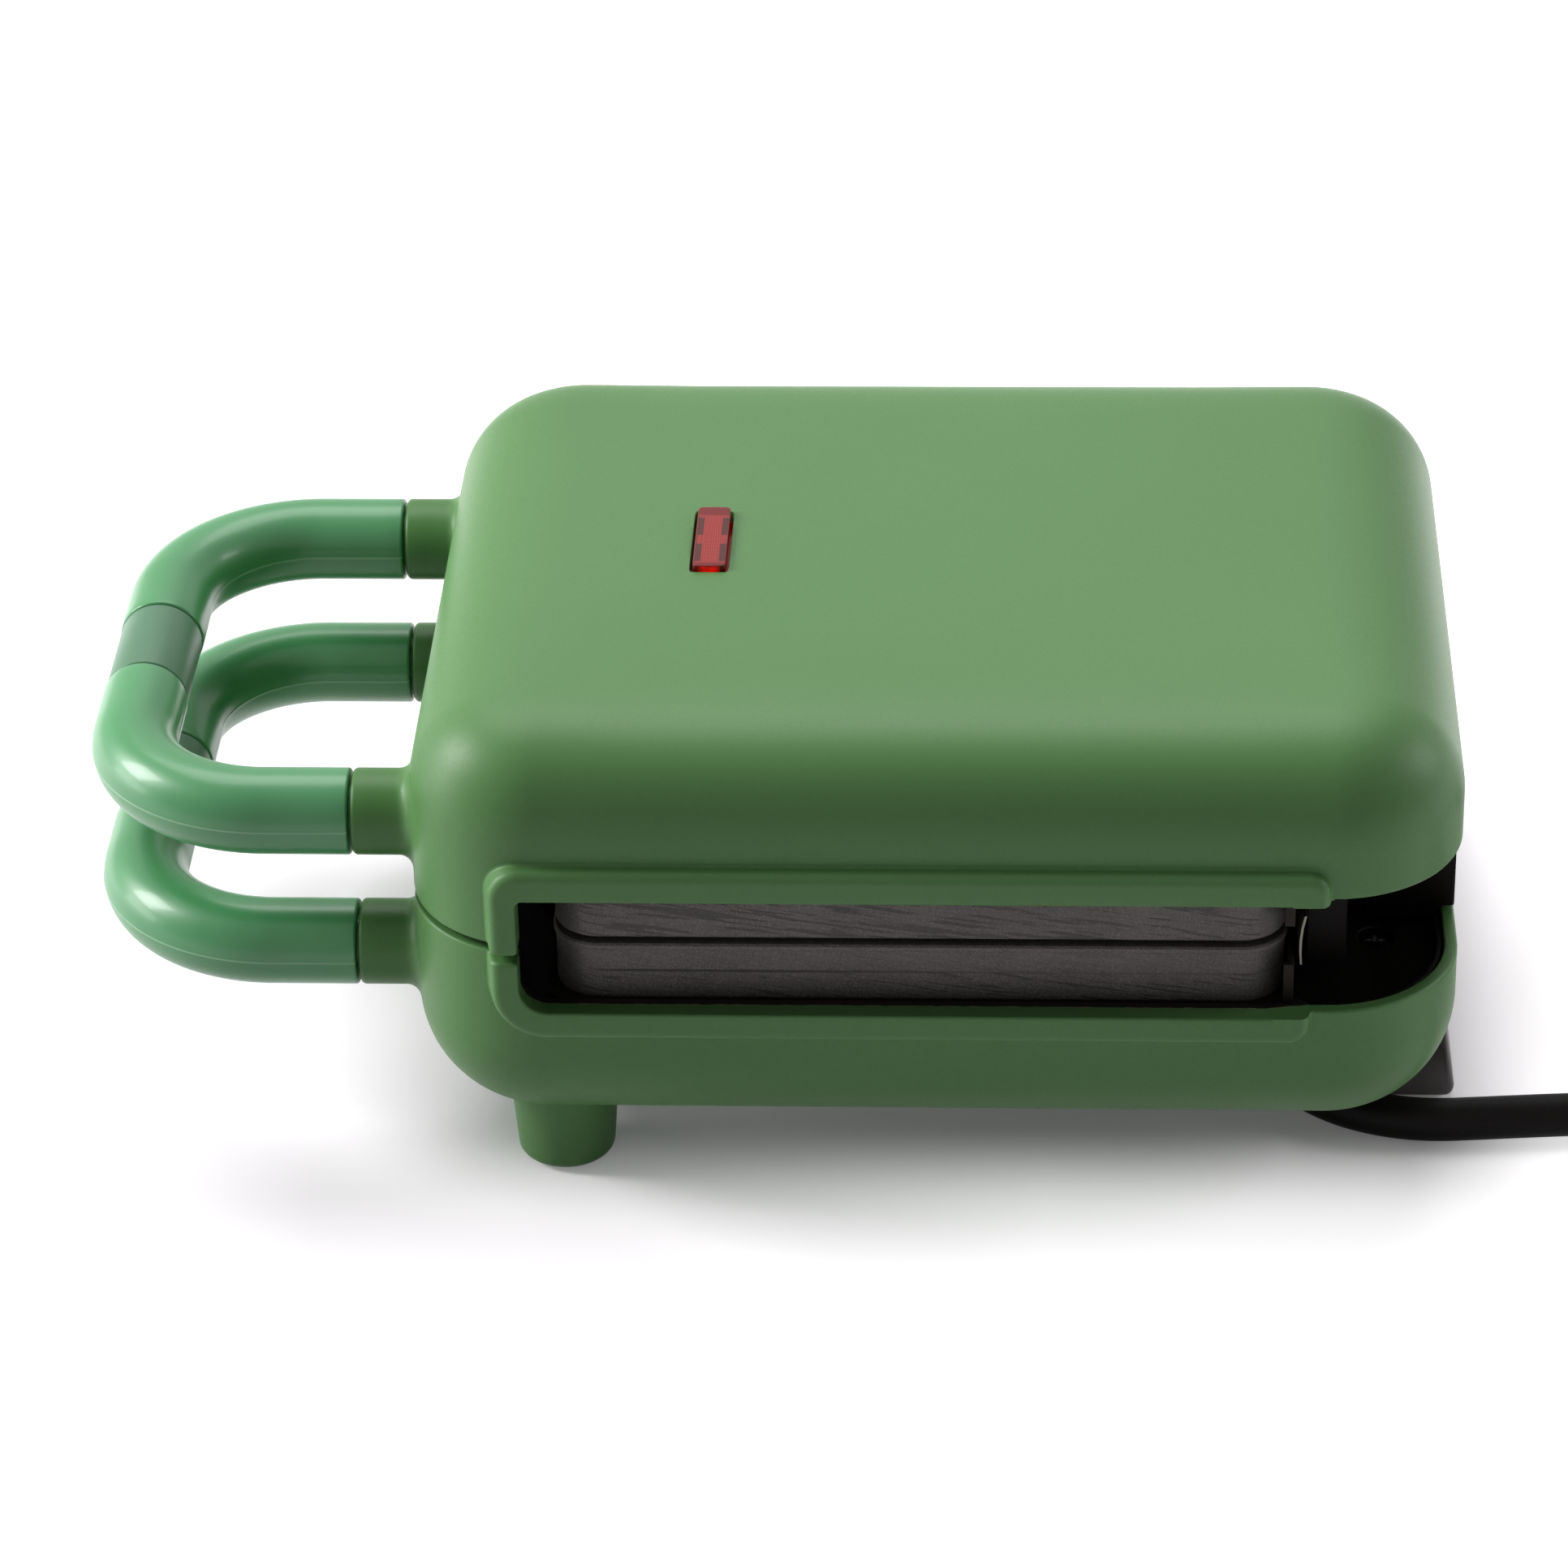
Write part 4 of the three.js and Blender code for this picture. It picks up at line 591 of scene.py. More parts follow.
# The camera and mirror-like surfaces see a white room and a white floor; the object is lit by less. The
# floor keeps its shadow.
def placeRoom():
    world = bpy.data.worlds.new("room")
    bpy.context.scene.world = world
    world.use_nodes = True
    room = Graph(world.node_tree)
    strength = room.looking() * (1 - light["world"]) + light["world"]
    room.node("OutputWorld", {}, {0: room.node("Background", {}, {"Color": (1, 1, 1, 1), "Strength": strength})})

    half = light["floorHalf"]
    mesh = bpy.data.meshes.new("floor")
    mesh.from_pydata([(-half, -half, 0), (half, -half, 0), (half, half, 0), (-half, half, 0)], [], [(0, 1, 2, 3)])
    floor = bpy.data.objects.new("floor", mesh)
    bpy.context.scene.collection.objects.link(floor)
    ground = Finish("floorPale", Roughness=0.9, Specular_IOR_Level=0.1, Emission_Strength=1.0)
    share = ground.looking()
    plain = ground.blend(share, (light["floorColour"],) * 3 + (1,), light["floorSeen"] + (1,))
    # away from the body the floor is seen whiter, more so on the side turned from the lamp; in metres
    clear = light["floorClear"]
    x, y = (ground.along(axis) * 0.001 for axis in "XY")
    beyond = [ground.ramp(abs(spot) - clear[side], 0, 1) for spot, side in ((x, "halfX"), (y, "halfY"))]
    away = (beyond[0] * beyond[0] + beyond[1] * beyond[1]) ** 0.5
    soft = ground.node("MapRange", {"interpolation_type": "SMOOTHSTEP"},
                       {"Value": away, "From Max": clear["reach"]})
    amount = ground.ramp(x, -0.11, 0.02) * (clear["right"] - clear["left"]) + clear["left"]
    far = ground.ramp(away, clear["reach"], 0.2)
    mesh.materials.append(ground.dress(
        Base_Color=ground.blend(ground.noise(30, 3) * 0.02, plain, (0, 0, 0, 1)),
        Emission_Color=share * (soft * amount + far * 0.5 + light["floorLift"])))


placeCamera()
for lampName, lampValues in lamps.items():
    placeLamp(lampName, lampValues)
placeRoom()
bpy.context.scene.view_settings.view_transform = "Standard"
print("camera, floor and light placed")


# Supply lead

lead = {
    "diameter": 7.8, "exitX": 58, "exitY": -4.3, "sides": 28,
    "turns": 3.25, "reach": 120, "meanRadius": 44, "pitch": 8.8, "rise": 8.6, "climb": 0.5,
    "plugRadius": 18, "plugRise": 46, "levelShare": 0.8,
}
# Points of the free stretch: x and y from the strain relief's tip, and the lift off the table
leadRoute = np.array([
    [0, 0, 1.8], [0, -6.8, 1.8], [0, -13.5, 1.7], [0.15, -19.5, 1.4], [1.1, -25.4, 1],
    [3.15, -31, 0.6], [6.25, -36.15, 0.3], [10.3, -40.6, 0.1], [15.1, -44.2, 0],
    [20.5, -46.8, 0], [26.3, -48.35, 0], [32.2, -48.8, 0], [38.2, -48.4, 0], [46, -47.7, 0],
    [60, -46.6, 0], [76, -46.1, 0], [92, -46.1, 0], [109, -46.1, 0],
])


# Centripetal curve through points: knots are spaced by the square root of each chord, and each
# stretch blends six straight lines by the knots about it
def smoothRoute(points, samples):
    ends = np.concatenate([[2 * points[0] - points[1]], points, [2 * points[-1] - points[-2]]])
    knots = np.concatenate([[0], np.cumsum(np.sqrt(np.linalg.norm(np.diff(ends, axis=0), axis=1)))])
    share = np.linspace(0, 1, samples, endpoint=False)[None, :, None]
    knot = [knots[i:len(knots) - 3 + i][:, None, None] for i in range(4)]
    spots = [ends[i:len(ends) - 3 + i][:, None, :] for i in range(4)]
    t = knot[1] + (knot[2] - knot[1]) * share

    def between(a, b, start, end):
        return (end - t) / (end - start) * a + (t - start) / (end - start) * b

    lines = [between(spots[i], spots[i + 1], knot[i], knot[i + 1]) for i in range(3)]
    bows = [between(lines[i], lines[i + 1], knot[i], knot[i + 2]) for i in range(2)]
    return np.concatenate([between(*bows, knot[1], knot[2]).reshape(-1, 3), points[-1:]])


# Coil: the radius falls by a pitch each turn to the middle and grows again, the height climbs one
# layer there, and after the last turn the lead runs on along +Y and lifts to the plug's axis
def leadPath():
    radius = lead["diameter"] / 2
    base = np.array([lead["exitX"], lead["exitY"], floorZ + radius])
    free = smoothRoute(leadRoute + base, 4)
    end = free[-1]
    half = lead["turns"] / 2
    outer = lead["meanRadius"] + lead["pitch"] * half / 2
    centre = np.array([lead["exitX"] + lead["reach"], end[1] + outer])
    turns = np.linspace(0, lead["turns"], round(lead["turns"] * 40) + 1)
    away = turns - half
    reach = outer - lead["pitch"] * (half - np.abs(away))
    rise = eased(np.clip((away + lead["climb"] / 2) / lead["climb"], 0, 1))
    angle = 2 * math.pi * turns - math.pi / 2
    wound = np.stack([centre[0] + reach * np.cos(angle), centre[1] + reach * np.sin(angle),
                      end[2] + lead["rise"] * rise], -1)
    past = np.linspace(0, 1, 17)[1:]
    lift = eased(np.clip(past / lead["levelShare"], 0, 1)) * (lead["plugRadius"] - radius - lead["rise"])
    return np.concatenate([free, wound, wound[-1] + np.stack([0 * past, past * lead["plugRise"], lift], -1)])


# Rings of a tube: each lies across the path's direction, turned on from ring to ring without twist
def tubeGrid(path, radius, turn):
    ahead = np.gradient(path, axis=0)
    ahead /= np.linalg.norm(ahead, axis=1, keepdims=True)
    side = np.cross(ahead, [0, 0, 1])
    side /= np.linalg.norm(side, axis=1, keepdims=True)
    return path[:, None] + radius * circles(turn, side, np.cross(side, ahead))


leadCurve = leadPath()
leadGrid = tubeGrid(leadCurve, lead["diameter"] / 2, fullTurn(lead["sides"]))
cordPiece = makePiece([gridPart(withPoles(leadGrid))], "base", "cord_black", ["cord", "cord_coil"],
                      "supplyLead", sharp=60)

relief = {"length": 25, "flange": 2, "root": 5.4, "tip": 4.6, "rootY": 21, "slots": 6, "slotDepth": 0.5,
          "plainRoot": 4, "plainTip": 3}


# Strain relief: a cone with a flange at its root and shallow rings that let it bend
def strainRelief():
    s = relief
    along = np.linspace(0, s["length"], 120)
    radius = s["root"] + (s["tip"] - s["root"]) * along / s["length"]
    inSlots = (along > s["plainRoot"]) & (along < s["length"] - s["plainTip"])
    wave = (along - s["plainRoot"]) * s["slots"] / (s["length"] - s["plainRoot"] - s["plainTip"])
    groove = np.where(inSlots, np.clip(np.sin(2 * math.pi * wave) * 3, 0, 1), 0)
    profile = [(4.2, -s["flange"]), (s["root"], -s["flange"]), *zip(radius - s["slotDepth"] * groove, along),
               (s["tip"] - 0.5, s["length"] + 0.05), (3.2, s["length"] + 0.1)]
    return turnedPart(profile, (lead["exitX"], s["rootY"], leadCurve[0, 2]), (0, -1, 0), 40)


makePiece([strainRelief()], "base", "liner_black", ["cord_gland"], "strainRelief", sharp=50)

plug = {
    "tail": 16, "depth": 20, "neck": 6.4, "pinRadius": 2.4, "pinLength": 19, "pinSpread": 9.5,
    "grip": 0.5, "start": 0.3,
}
plugStart = leadCurve[-1] + [0, plug["start"], 0]


# Plug body: a neck that swells into a round head, with shallow finger ribs round its tail
def plugBody():
    r, neck, head = lead["plugRadius"], plug["neck"] * 0.8, plug["tail"] + plug["depth"]
    t = np.linspace(0, 1, 40)
    tail = neck + (r * 0.97 - neck) * eased(t) ** 1.5
    ribs = plug["grip"] * np.clip(np.sin(t * math.pi * 9) * 2, 0, 1) * (t > 0.08) * (t < 0.7)
    profile = [(4.0, 0), *zip(tail - ribs, t * (plug["tail"] + 5)), (r, plug["tail"] + 7), (r, head - 1.5),
               (r - 0.4, head - 0.45), (r - 1.5, head), (r - 3.2, head), (r - 3.4, head - 0.4),
               (r - 3.8, head - 0.5)]
    return turnedPart(profile, plugStart, (0, 1, 0), 72)


def plugPin(side):
    r, neck = plug["pinRadius"], plug["pinLength"] - 2
    profile = [(r * 0.9, -6.0), (r, -5.8), (r, 0), (r, neck)]
    profile += [(r * math.cos(a), neck + 2 * math.sin(a)) for a in np.linspace(0.2, 1.4, 6)]
    root = [side * plug["pinSpread"], plug["tail"] + plug["depth"], 0]
    return turnedPart(profile, plugStart + root, (0, 1, 0), 32)


plugPiece = makePiece([plugBody()], "base", "cord_black", ["plug_body"], "plugHead", sharp=50)
pinPieces = [makePiece([plugPin(side)], "base", "plug_brass", [f"plug_pin_{i + 1}"])
             for i, side in enumerate((-1, 1))]
earthPiece = refine("plug_earth_strap", "base", "plug_brass", 0.15)


# Shells

lampHole = {"x": -41.2, "halfX": 3.5, "halfY": 11.4, "power": 20, "edge": 0.25}


# Distance of the outside from the long middle line at a place x, or of a surface inset from it
def wallY(x, inset):
    away = np.clip(np.abs(x) - flatX, 0, None)
    return flatY + np.sqrt(np.clip((body["corner"] - inset) ** 2 - away ** 2, 0, None))


# Distance of the handle end's outside from the middle at (y, z), rounded by the corner and the edge
def wallX(y, z, half):
    big = half["round"]
    up = np.clip(z - (half["height"] - big), 0, big * 0.999)
    radius = body["corner"] - (big - np.sqrt(big ** 2 - up ** 2))
    away = np.clip(np.abs(y) - flatY, 0, None)
    return flatX + np.sqrt(np.clip(radius ** 2 - away ** 2, 0, None))


# Shell wall: every column of the outline carries one section, which runs from the inside's middle
# out, down the inner wall, round its lower edge, up the outer wall, over the fillet and back to the
# middle, or to the lamp's hole and down through it. Heights run from the lower edge's own height,
# which steps from the parting plane up to the cut-away inside the rim's leg.
def shellWall(half, hole):
    feet, normals = outlineColumns(halfLength, halfWidth, body["corner"], shell["cornerSteps"],
                                   shell["spacing"])
    outerX = feet[:, 0] + normals[:, 0] * body["corner"]
    rimEnd, low = half["rimEnd"], half["edge"]
    lower = np.interp(outerX, [-75.6, -73.4, rimEnd - 6, rimEnd - 3, rimEnd + 1.7, rimEnd + 2.2],
                      [startZ, low + 1.2, low + 1.2, low + 0.04, low + 0.04, low])
    wall, edge, inner, big = body["wall"], shell["edgeRound"], shell["innerRound"], half["round"]
    small = big - wall
    spread = [1, 0.96, 0.75, 0.5, 0.25, 0]
    # each row: how far in from the outline, its share of the way up, a lift, its share of the way to the middle
    rows = [(big, 1, small, s) for s in spread]
    rows += [(big - small * math.cos(t), 1, small * math.sin(t), 0) for t in quarter(14)[-2::-1]]
    rows += [(wall, w, inner * (1 - w), 0) for w in np.linspace(1, 0, 12)[1:]]
    rows += [(wall - inner * (1 - math.sin(t)), 0, inner * (1 - math.cos(t)), 0) for t in quarter(4)[-2::-1]]
    rows += [(edge * (1 - math.sin(t)), 0, edge * (1 - math.cos(t)), 0) for t in quarter(7)]
    rows += [(0, w, edge * (1 - w), 0) for w in np.linspace(0, 1, 14)[1:]]
    rows += [(big * (1 - math.cos(t)), 1, big * math.sin(t), 0) for t in quarter(36)[1:]]
    rows += [(big, 1, big, s) for s in spread[-2::-1]]
    inset, weight, lift, share = np.array(rows).T
    # the outer rounding runs out into the top: along its arc, by a share u from 0 to 1, the outline moves
    # further in by the ease times u to a power, and the ease doubles smoothly between the corners
    late = np.concatenate([np.zeros(len(rows) - 40), np.linspace(0, 1, 36)[1:] ** shell["easePower"], np.ones(5)])
    fromCorner = np.clip((flatX - np.abs(feet[:, 0]) + flatY - np.abs(feet[:, 1])) / shell["easeReach"], 0, 1)
    ease = half["ease"] * (1 + eased(fromCorner))
    flat = feet[None] + normals[None] * (body["corner"] - inset[:, None] - late[:, None] * ease)[:, :, None]
    middle = np.zeros_like(flat[0])
    if hole:
        # the hole is a rounded rectangle: the high powers of |x| and |y|, over its half sizes, add up to 1
        centre, power = np.array([lampHole["x"], 0]), lampHole["power"]
        angle = np.arctan2(*(flat[0] - centre).T[::-1])
        way = np.stack([np.cos(angle), np.sin(angle)], -1)
        x, y = np.abs(way).T
        reach = ((x / lampHole["halfX"]) ** power + (y / lampHole["halfY"]) ** power) ** (-1 / power)
        middle = centre + way * reach[:, None]
    flat = flat + (middle[None] - flat) * share[:, None, None]
    height = lower[None] * (1 - weight)[:, None] + (half["height"] - big) * weight[:, None] + lift[:, None]
    grid = np.dstack([flat, height])
    if hole:
        # the hole's upper edge is rounded, so its last outer row is moved out and more rows go down
        out = lampHole["edge"] * np.array([1, 0.3, 0])
        down = half["height"] - lampHole["edge"] * np.array([0, 0.3, 1])
        neck = middle[None] + way[None] * out[:, None, None]
        drop = np.broadcast_to(down[:, None], neck.shape[:2])
        grid = np.concatenate([grid[:-1], np.dstack([neck, drop])])
    return gridPart(grid, closedRows=hole)


# Rim: window outline and rim outline are walked side by side, up the leg, round the corner, along
# the band and round the rim's end. Across them the section goes over the window's edge, the flat
# face, the rounded outer edge and the root, and back inside the wall.
def rimStations(half):
    ws, leg = shell["windowStart"], shell["rimLeg"]
    wc, rc, ec = half["windowCorner"], half["rimCorner"], shell["endCorner"]
    edge, top, end = half["edge"], half["edge"] + half["band"], half["rimEnd"]
    left, pivot = ws - leg, np.array([end - 6.5, edge])
    inner, outer, normal = [], [], []

    def add(a, b, n):
        inner.append(a)
        outer.append(b)
        normal.append(n)

    # the leg's free end is rounded: its first stations rise by less than the ones above them
    r = shell["partingRound"]
    rise = startZ + r * (1 - np.cos(quarter(7)))
    t = np.linspace(0, 1, 12)[1:, None]
    for spots, x, high in ((inner, ws, edge - wc), (outer, left, top - rc)):
        spots.append(np.stack([np.full(7, x), rise], -1))
        spots.append(np.array([x, startZ + r]) + t * [0, high - startZ - r])
    normal.append(np.repeat([[-1.0, 0.0]], 18, 0))
    turn = quarter(22)[1:]
    bow = np.stack([-np.cos(turn), np.sin(turn)], -1)
    add(np.array([ws + wc, edge - wc]) + wc * bow, np.array([left + rc, top - rc]) + rc * bow, bow)
    t = np.linspace(0, 1, 60)[1:, None]
    add(np.array([ws + wc, edge]) + t * [pivot[0] - ws - wc, 0],
        np.array([left + rc, top]) + t * [end - ec - left - rc, 0], np.repeat([[0.0, 1.0]], 59, 0))
    turn = quarter(16)[1:]
    bow = np.stack([np.sin(turn), np.cos(turn)], -1)
    add(np.repeat(pivot[None], 15, 0), np.array([end - ec, top - ec]) + ec * bow, bow)
    t = np.linspace(0, 1, 5)[1:, None]
    add(np.repeat(pivot[None], 4, 0), np.array([end, top - ec]) + t * [0, edge - top + ec],
        np.repeat([[1.0, 0.0]], 4, 0))
    return np.concatenate(inner), np.concatenate(outer), np.concatenate(normal)


# Across the rim's outer edge the section is a convex arc of radius R through an angle a, a straight
# stretch, and a concave arc of radius r back through a: the drop is (R + r)(1 - cos a) plus the straight
# stretch's run times tan a. R and r shrink where the wall comes close.
def rimPart(half, side):
    inner, outer, n = rimStations(half)
    step = np.zeros(len(inner))
    step[:7] = shell["partingRound"] * (1 - np.sin(quarter(7)))
    face = halfWidth + shell["rimProud"] - step
    small, swing = shell["windowRound"], math.radians(shell["rimTurn"])
    a, b = inner + n * step[:, None], outer - n * step[:, None]
    rows = []

    def add(spot, depth):
        rows.append(np.stack([spot[:, 0], depth, spot[:, 1]], -1))

    add(a, wallY(a[:, 0], body["wall"]) - 0.06)
    for t in quarter(4)[::-1]:
        add(a + n * small * (1 - math.sin(t)), face - small * (1 - math.cos(t)))
    start = b - n * shell["rimInset"]
    for share in (0.5, 0.95):
        add(a + (start - a) * share, face)
    drop = face - wallY((b + n)[:, 0], 0)
    share = np.clip(drop / ((shell["rimRound"] + shell["rimRoot"]) * (1 - math.cos(swing))), 0, 1)
    big, root = shell["rimRound"] * share, shell["rimRoot"] * share
    straight = np.clip(drop - (big + root) * (1 - math.cos(swing)), 0, None) / math.tan(swing)
    for t in np.linspace(0, swing, 10):
        add(start + n * (big * math.sin(t))[:, None], face - big * (1 - math.cos(t)))
    foot = start + n * ((big + root) * math.sin(swing) + straight)[:, None]
    for t in np.linspace(swing, 0, 8):
        spot = foot - n * (root * math.sin(t))[:, None]
        add(spot, wallY(spot[:, 0], 0) + root * (1 - math.cos(t)) + 0.02)
    spot = foot + n * 0.3
    add(spot, wallY(spot[:, 0], 0) - 0.8)
    add(b, wallY(b[:, 0], body["wall"]) - 0.06)
    grid = np.stack(rows, 1)
    grid[:, :, 1] *= -side
    return gridPart(withPoles(grid))


collar = {"length": 10.5, "radius": 7.7, "root": 2.4, "lip": 0.9, "bore": 5.3, "boreDepth": 8.2, "spread": 50}


# Collar: a turned sleeve whose root flares onto the wall, each point as far out as the wall is there
def collarPart(half, side):
    c, outer, turn = collar, halfLength + collar["length"], fullTurn(72)
    wide, root, lip = c["radius"], c["root"], c["lip"]
    rings = [(wide + root - 0.6, -1.4), *arc(wide + root, root, root, 270, 180, 9)]
    fixed = [(wide, outer - lip - 3), *arc(wide - lip, outer - lip, lip, 0, 90, 6),
             (c["bore"], outer), (c["bore"], outer - c["boreDepth"])]
    rows = []
    for k, (radius, away) in enumerate(rings + fixed):
        y = side * c["spread"] + radius * np.cos(turn)
        z = half["handle"] + radius * np.sin(turn)
        x = wallX(y, z, half) + away if k < len(rings) else np.full_like(y, away)
        rows.append(np.stack([-x, y, z], -1))
    return gridPart(withPoles(np.stack(rows)))


def shellParts(half, hole):
    return [shellWall(half, hole), *(make(half, side) for make in (rimPart, collarPart) for side in (-1, 1))]


def turned(parts):
    return [(points * turnedOver, faces) for points, faces in parts]


makePiece(shellParts(halves["lid"], True), "lid", "shell_green", ["lid_shell"])
makePiece(turned(shellParts(halves["base"], False)), "base", "shell_green", ["base_shell"])
print("shells built")


# Handles

handle = {
    "radius": 7.7, "spread": 50, "reach": 52.6, "bend": 26.2, "seam": 0.4, "edge": 0.55,
    "sleeveHalf": 10.9, "sleeveShift": 0.1, "sleeveInset": 0.2, "sleeveEdge": 0.5, "sleeveBore": 4.6,
    "spigot": 5, "peg": 4.3, "mouldLine": 0.1,
}
barX = -(halfLength + handle["reach"])


# Elbow: the path runs out of the collar, round a quarter bend and along the bar; the radius falls in
# a small quarter circle at both ends and carries a fine ridge where the mould's halves met
def elbowPart(side, height):
    h = handle
    start = -(halfLength + collar["length"] + h["seam"])
    leg, bend = start - (barX + h["bend"]), h["bend"] * math.pi / 2
    total = leg + bend + h["spread"] - h["bend"] - h["sleeveHalf"] - h["seam"] / 2
    rim = h["edge"] * (1 - np.cos(quarter(6)))
    runs = np.concatenate([rim, np.linspace(h["edge"], leg, 6)[1:], np.linspace(leg, leg + bend, 56)[1:],
                           np.linspace(leg + bend, total - h["edge"], 6)[1:], total - rim[::-1][1:]])
    angle = np.clip((runs - leg) / h["bend"], 0, math.pi / 2)
    x = start - np.minimum(runs, leg) - h["bend"] * np.sin(angle)
    after = np.clip(runs - leg - bend, 0, None)
    y = side * (h["spread"] - h["bend"] * (1 - np.cos(angle)) - after)
    path = np.stack([x, y, np.full_like(x, height)], -1)
    fromEnd = np.minimum(runs, total - runs)
    drop = h["edge"] - np.sqrt(np.clip(h["edge"] ** 2 - np.clip(h["edge"] - fromEnd, 0, None) ** 2, 0, None))
    fine = np.radians([-4, -2.4, -1.2, 0, 1.2, 2.4, 4])
    angles = np.unique(np.concatenate([np.radians(np.arange(8, 180, 6)), np.radians(np.arange(188, 360, 6)),
                                       fine % (2 * math.pi), math.pi + fine]))
    ridge = h["mouldLine"] * np.clip(1 - np.abs(np.sin(angles)) * h["radius"] / 0.3, 0, 1)
    direction = np.stack([-np.cos(angle), -side * np.sin(angle), 0 * angle], -1)
    radius = (h["radius"] - drop)[:, None] + ridge[None] * (fromEnd > h["edge"])[:, None]
    ring = circles(angles, np.cross(direction, [0, 0, 1.0]), [0, 0, 1.0])
    tube = gridPart(withPoles(path[:, None] + radius[:, :, None] * ring))
    spigot = turnedPart([(h["spigot"], -1.0), (h["spigot"], 6.5), (h["spigot"] - 0.5, 7.0)],
                        (start, side * h["spread"], height), (1, 0, 0), 40)
    peg = turnedPart([(h["peg"], -1.0), (h["peg"], 8.0)], (barX, side * (h["sleeveHalf"] + h["seam"] / 2), height),
                     (0, -side, 0), 32)
    return [tube, spigot, peg]


def sleevePart(height, shift):
    h = handle
    edge, half = h["sleeveEdge"], h["sleeveHalf"] - h["sleeveShift"]
    radius = h["radius"] - h["sleeveInset"] - edge
    profile = [(h["sleeveBore"], -half), *arc(radius, edge - half, edge, -90, 0, 6),
               *arc(radius, half - edge, edge, 0, 90, 6), (h["sleeveBore"], half), (h["sleeveBore"], -half)]
    return turnedPart(profile, (barX, shift, height), (0, 1, 0), 72)


for halfName, flip in (("lid", 1), ("base", -1)):
    height, over = halves[halfName]["handle"], turned if flip < 0 else list
    for side, end in ((-1, "near"), (1, "far")):
        makePiece(over(elbowPart(side * flip, height)), halfName, "handle_green", [f"{halfName}_handle_{end}"],
                  sharp=40)
    # the seam nearer the photographed side is the wider one
    makePiece(over([sleevePart(height, handle["sleeveShift"] * flip)]), halfName, "sleeve_green",
              [f"{halfName}_handle_sleeve"], sharp=40)
print("handles built")


# Lamp

neon = {"ends": [(0.5, -9), (1.2, -8.6), (1.6, -8), (1.6, 6.5), (1.2, 7.8), (0.4, 9)]}


def lensPart():
    columns = outlineColumns(lens["halfX"], lens["halfY"], lens["corner"], 10, 0.8)
    e, f = lens["edge"], -lens["flange"]
    low = lens["seat"] - lens["flangeHeight"]
    rows = [(0.9, low), (f, low), (f, lens["seat"]), (0, lens["seat"]), *arc(e, lens["top"] - e, e, 180, 90, 6),
            (0.9, lens["top"])]
    return gridPart(withPoles(outlineGrid(*columns, lens["corner"], rows) + [lampHole["x"], 0, 0]))


makePiece([lensPart()], "lid", "lens_red", ["lamp_lens"])
refine("lamp_holder", "lid", "liner_black", 0.3)
neonLow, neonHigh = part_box("neon_lamp")
neonSpot = (lampHole["x"], 0, (neonLow.z + neonHigh.z) * 500 - bodyOrigin[2])
makePiece([turnedPart(neon["ends"], neonSpot, (0, 1, 0), 32)], "lid", "lamp_glass", ["neon_lamp"])
print("lamp built")


# Cooking plates

# Section of a plate from its back's middle out, up its side, over the rim and down into the recess
def platePart(withLedge):
    p = plate
    back, face, e, b = p["face"] + p["depth"], p["face"], p["edge"], p["backEdge"]
    under = face + p["recess"] + p["floor"]
    outer = [(p["corner"] - 0.5, under), (p["skirt"], under), (p["skirt"], back), *arc(b, back - b, b, 90, 180, 6)]
    if withLedge:
        l, d = p["ledge"], face + p["ledgeDepth"]
        outer += [(0, d + 0.15), (-l * 0.5, d), (-l, d - 0.25), (-l, face + 0.35), (-l + 0.35, face)]
    else:
        outer += arc(e, face + e, e, 180, 270, 6)
    corner, r, deep = p["corner"], p["recessRound"], face + p["recess"]
    inner = [(-0.6, face), (-0.18, face + 0.18), (0, face + 0.6), *arc(r, deep - r, r, 180, 90, 9),
             (corner - 0.5, deep)]
    feet, normals = outlineColumns(p["halfX"], p["halfY"], corner, 14, 3)
    flat = np.array([p["halfX"], p["halfY"]]) - corner
    grid = np.concatenate([outlineGrid(feet, normals, corner, outer),
                           outlineGrid(feet * ((flat - p["rim"]) / flat), normals, corner, inner)])
    return gridPart(withPoles(grid + [p["centre"], 0, 0]))


makePiece([platePart(False)], "lid", "plate_coating", ["lid_plate"])
makePiece(turned([platePart(True)]), "base", "plate_coating", ["base_plate"])
print("plates built")


# Feet and stand

foot = {"x": -66.5, "y": 58.1, "topRadius": 9.9, "bottomRadius": 8.7, "edge": 1.9, "padRadius": 6.4,
        "padProud": 0.5, "padThickness": 1.6, "sunk": 0.3}


# Outside of the base's underside over a plan point, as a depth below the parting plane
def undersideDepth(x, y):
    away = np.hypot(np.clip(np.abs(x) - flatX, 0, None), np.clip(np.abs(y) - flatY, 0, None))
    r = halves["base"]["round"]
    into = np.clip(away - (body["corner"] - r), 0, r * 0.999)
    return halves["base"]["height"] - r + np.sqrt(r ** 2 - into ** 2)


# Foot: a turned cone with a rounded lower edge; its top ring follows the shell's underside
def footPart(side):
    e, wide, y = foot["edge"], foot["topRadius"], side * foot["y"]
    across, along = np.cos(fullTurn(64)), np.sin(fullTurn(64))
    shoulder, start = -floorZ - foot["padProud"] - e, halves["base"]["height"] - 6
    slope = (foot["bottomRadius"] - wide) / (shoulder - start)
    top = undersideDepth(foot["x"] + wide * across, y + wide * along) - foot["sunk"]
    rows = []
    for share, t in [(k / 6, 0) for k in range(6)] + [(1, t) for t in quarter(8)]:
        depth = top + (shoulder - top) * share
        radius = wide + slope * (depth - start) - e * (1 - math.cos(t))
        rows.append(np.stack([foot["x"] + radius * across, y + radius * along, depth + e * math.sin(t)], -1))
    return gridPart(withPoles(np.stack(rows)))


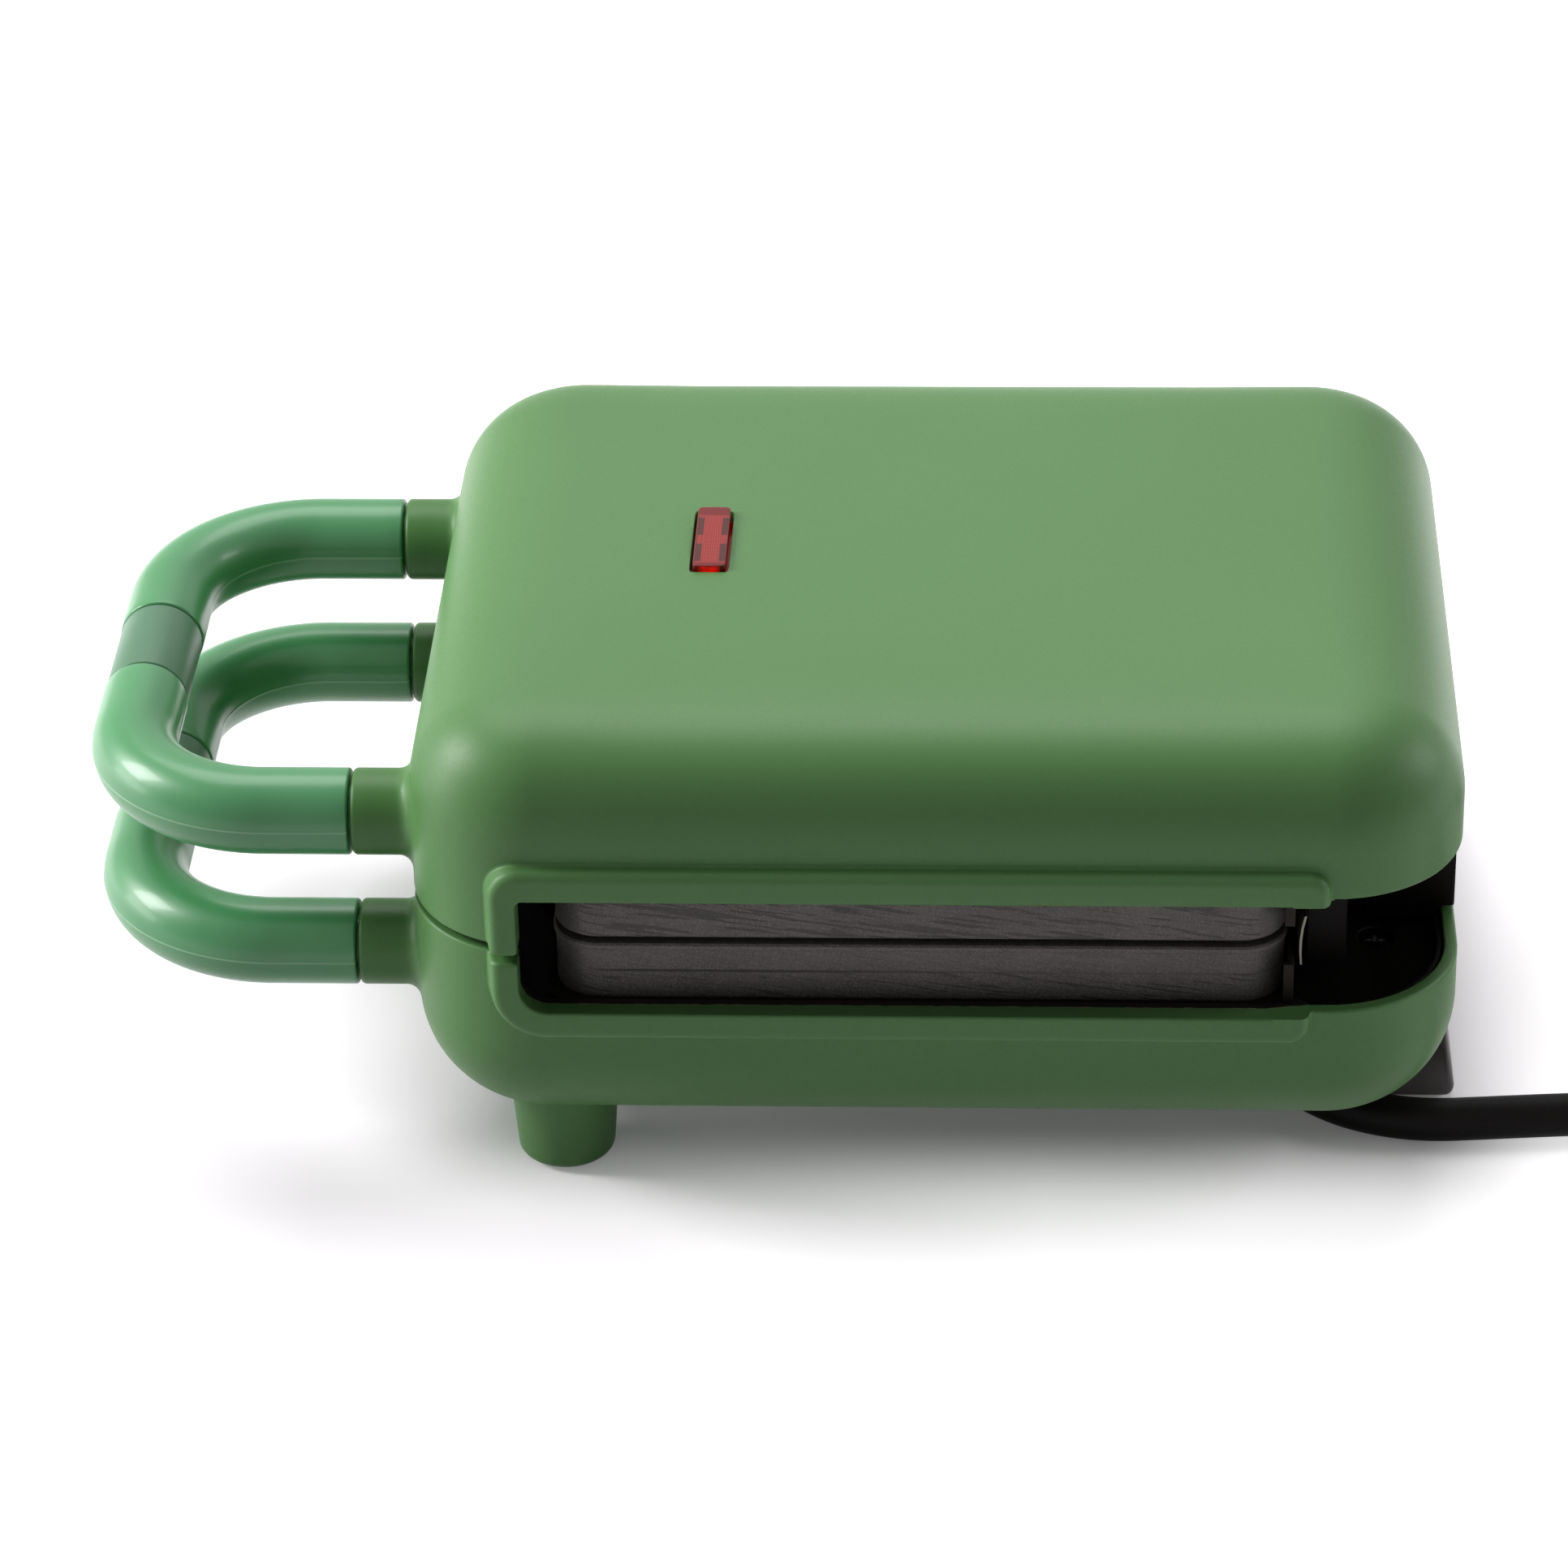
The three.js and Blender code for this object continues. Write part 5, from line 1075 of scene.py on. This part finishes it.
for side, end in ((1, "near"), (-1, "far")):
    makePiece(turned([footPart(side)]), "base", "shell_green", [f"front_foot_{end}"])
for i, side in enumerate((-1, 1)):
    r, low = foot["padRadius"], foot["padThickness"]
    pad = turnedPart([(r - 0.3, 0), (r, 0.3), (r, low)], (foot["x"], -side * foot["y"], floorZ), (0, 0, 1), 48)
    makePiece([pad], "base", "pad_rubber", [f"front_foot_pad_{i + 1}"])
refine("rear_stand", "base", "stand_black", 1.6)
for i in (1, 2):
    refine(f"rear_stand_pad_{i}", "base", "pad_rubber", 0.3)
print("feet and stand built")


# Inner pieces: merged copies of their solids with broken edges. Each line gives node, body, slot and edge,
# and a name or finish of its own where it has one.
innerPieces = [
    ("lid_liner", "lid", "liner_black", 0.3),
    ("base_liner", "base", "liner_black", 0.3),
    ("lid_reflector", "lid", "heat_shield", 0.15, "lidHeatShield"),
    ("base_reflector", "base", "heat_shield", 0.15, "baseHeatShield"),
    ("lid_heater", "lid", "steel", 0),
    ("base_heater", "base", "steel", 0),
    ("lid_hinge_bracket", "lid", "liner_black", 0.35),
    ("base_hinge_block", "base", "liner_black", 0.35),
    ("lid_plate_spring", "lid", "steel", 0.1, "lidPlateSpring", springSteel),
    ("hinge_pin", "base", "steel", 0.3),
    ("thermostat", "base", "ceramic_white", 0.4, "thermostatDisc"),
    ("thermal_fuse", "base", "steel", 0.3),
    ("terminal_block", "base", "ceramic_white", 0.4),
]
for inner in innerPieces:
    refine(*inner)

screw = {"headRadius": 3.1, "headHeight": 1.6, "radius": 1.6, "tip": 1.2, "crownRadius": 2.2, "crown": 0.12,
         "crownSteps": 14, "recessHalf": 0.42, "recessReach": 1.9, "recessDepth": 1.0, "headFrom": 2.9}


# Screw: a turned pan head whose crown, lower by the square of the radius, sinks in a cross where |x| or
# |y| is small, and its shank
def screwPart(head, tip):
    length, s = np.linalg.norm(head - tip), screw
    axis = (head - tip) / length
    side, over = acrossAxis(axis)
    share, turn = np.linspace(0, 1, s["crownSteps"]), fullTurn(64)
    radii = np.concatenate([share * s["crownRadius"], [2.6, 2.9, 3.05, s["headRadius"], s["headRadius"],
                                                       s["radius"], s["radius"], s["radius"] * 0.5]])
    heights = np.concatenate([-s["crown"] * share ** 2, [-0.3, -0.55, -0.85, -1.1, -s["headHeight"],
                                                         -s["headHeight"], s["tip"] - length, -length]])
    x, y = radii[:, None] * np.cos(turn), radii[:, None] * np.sin(turn)
    arm, reach = np.minimum(np.abs(x), np.abs(y)), np.maximum(np.abs(x), np.abs(y))
    sink = np.clip((s["recessHalf"] - arm) / 0.12, 0, 1) * np.clip((s["recessReach"] - reach) / 0.3, 0, 1)
    crowned = np.arange(len(radii)) < s["crownSteps"]
    z = heights[:, None] - s["recessDepth"] * sink * crowned[:, None]
    return gridPart(withPoles(head + x[..., None] * side + y[..., None] * over + z[..., None] * axis))


for node in sorted(n for n in frame["nodes"] if "_screw_" in n):
    low, high = (np.array(corner) * 1000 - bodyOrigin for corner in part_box(node))
    middle, size = (low + high) / 2, high - low
    along = int(np.argmax(size))
    reach = np.zeros(3)
    reach[along] = size[along] / 2
    # the head is the end where the node has its widest points
    vertices = frame["nodes"][node].data.vertices
    spots = np.array([vertex.co for vertex in vertices]) * 1000 - bodyOrigin - middle
    across = np.linalg.norm(np.delete(spots, along, 1), axis=1)
    sign = np.sign(spots[across > screw["headFrom"], along].mean())
    makePiece([screwPart(middle + sign * reach, middle - sign * reach)], frame["nodes"][node]["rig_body"], "steel",
              [node], finish=screwSteel)
print("inner pieces and screws built")
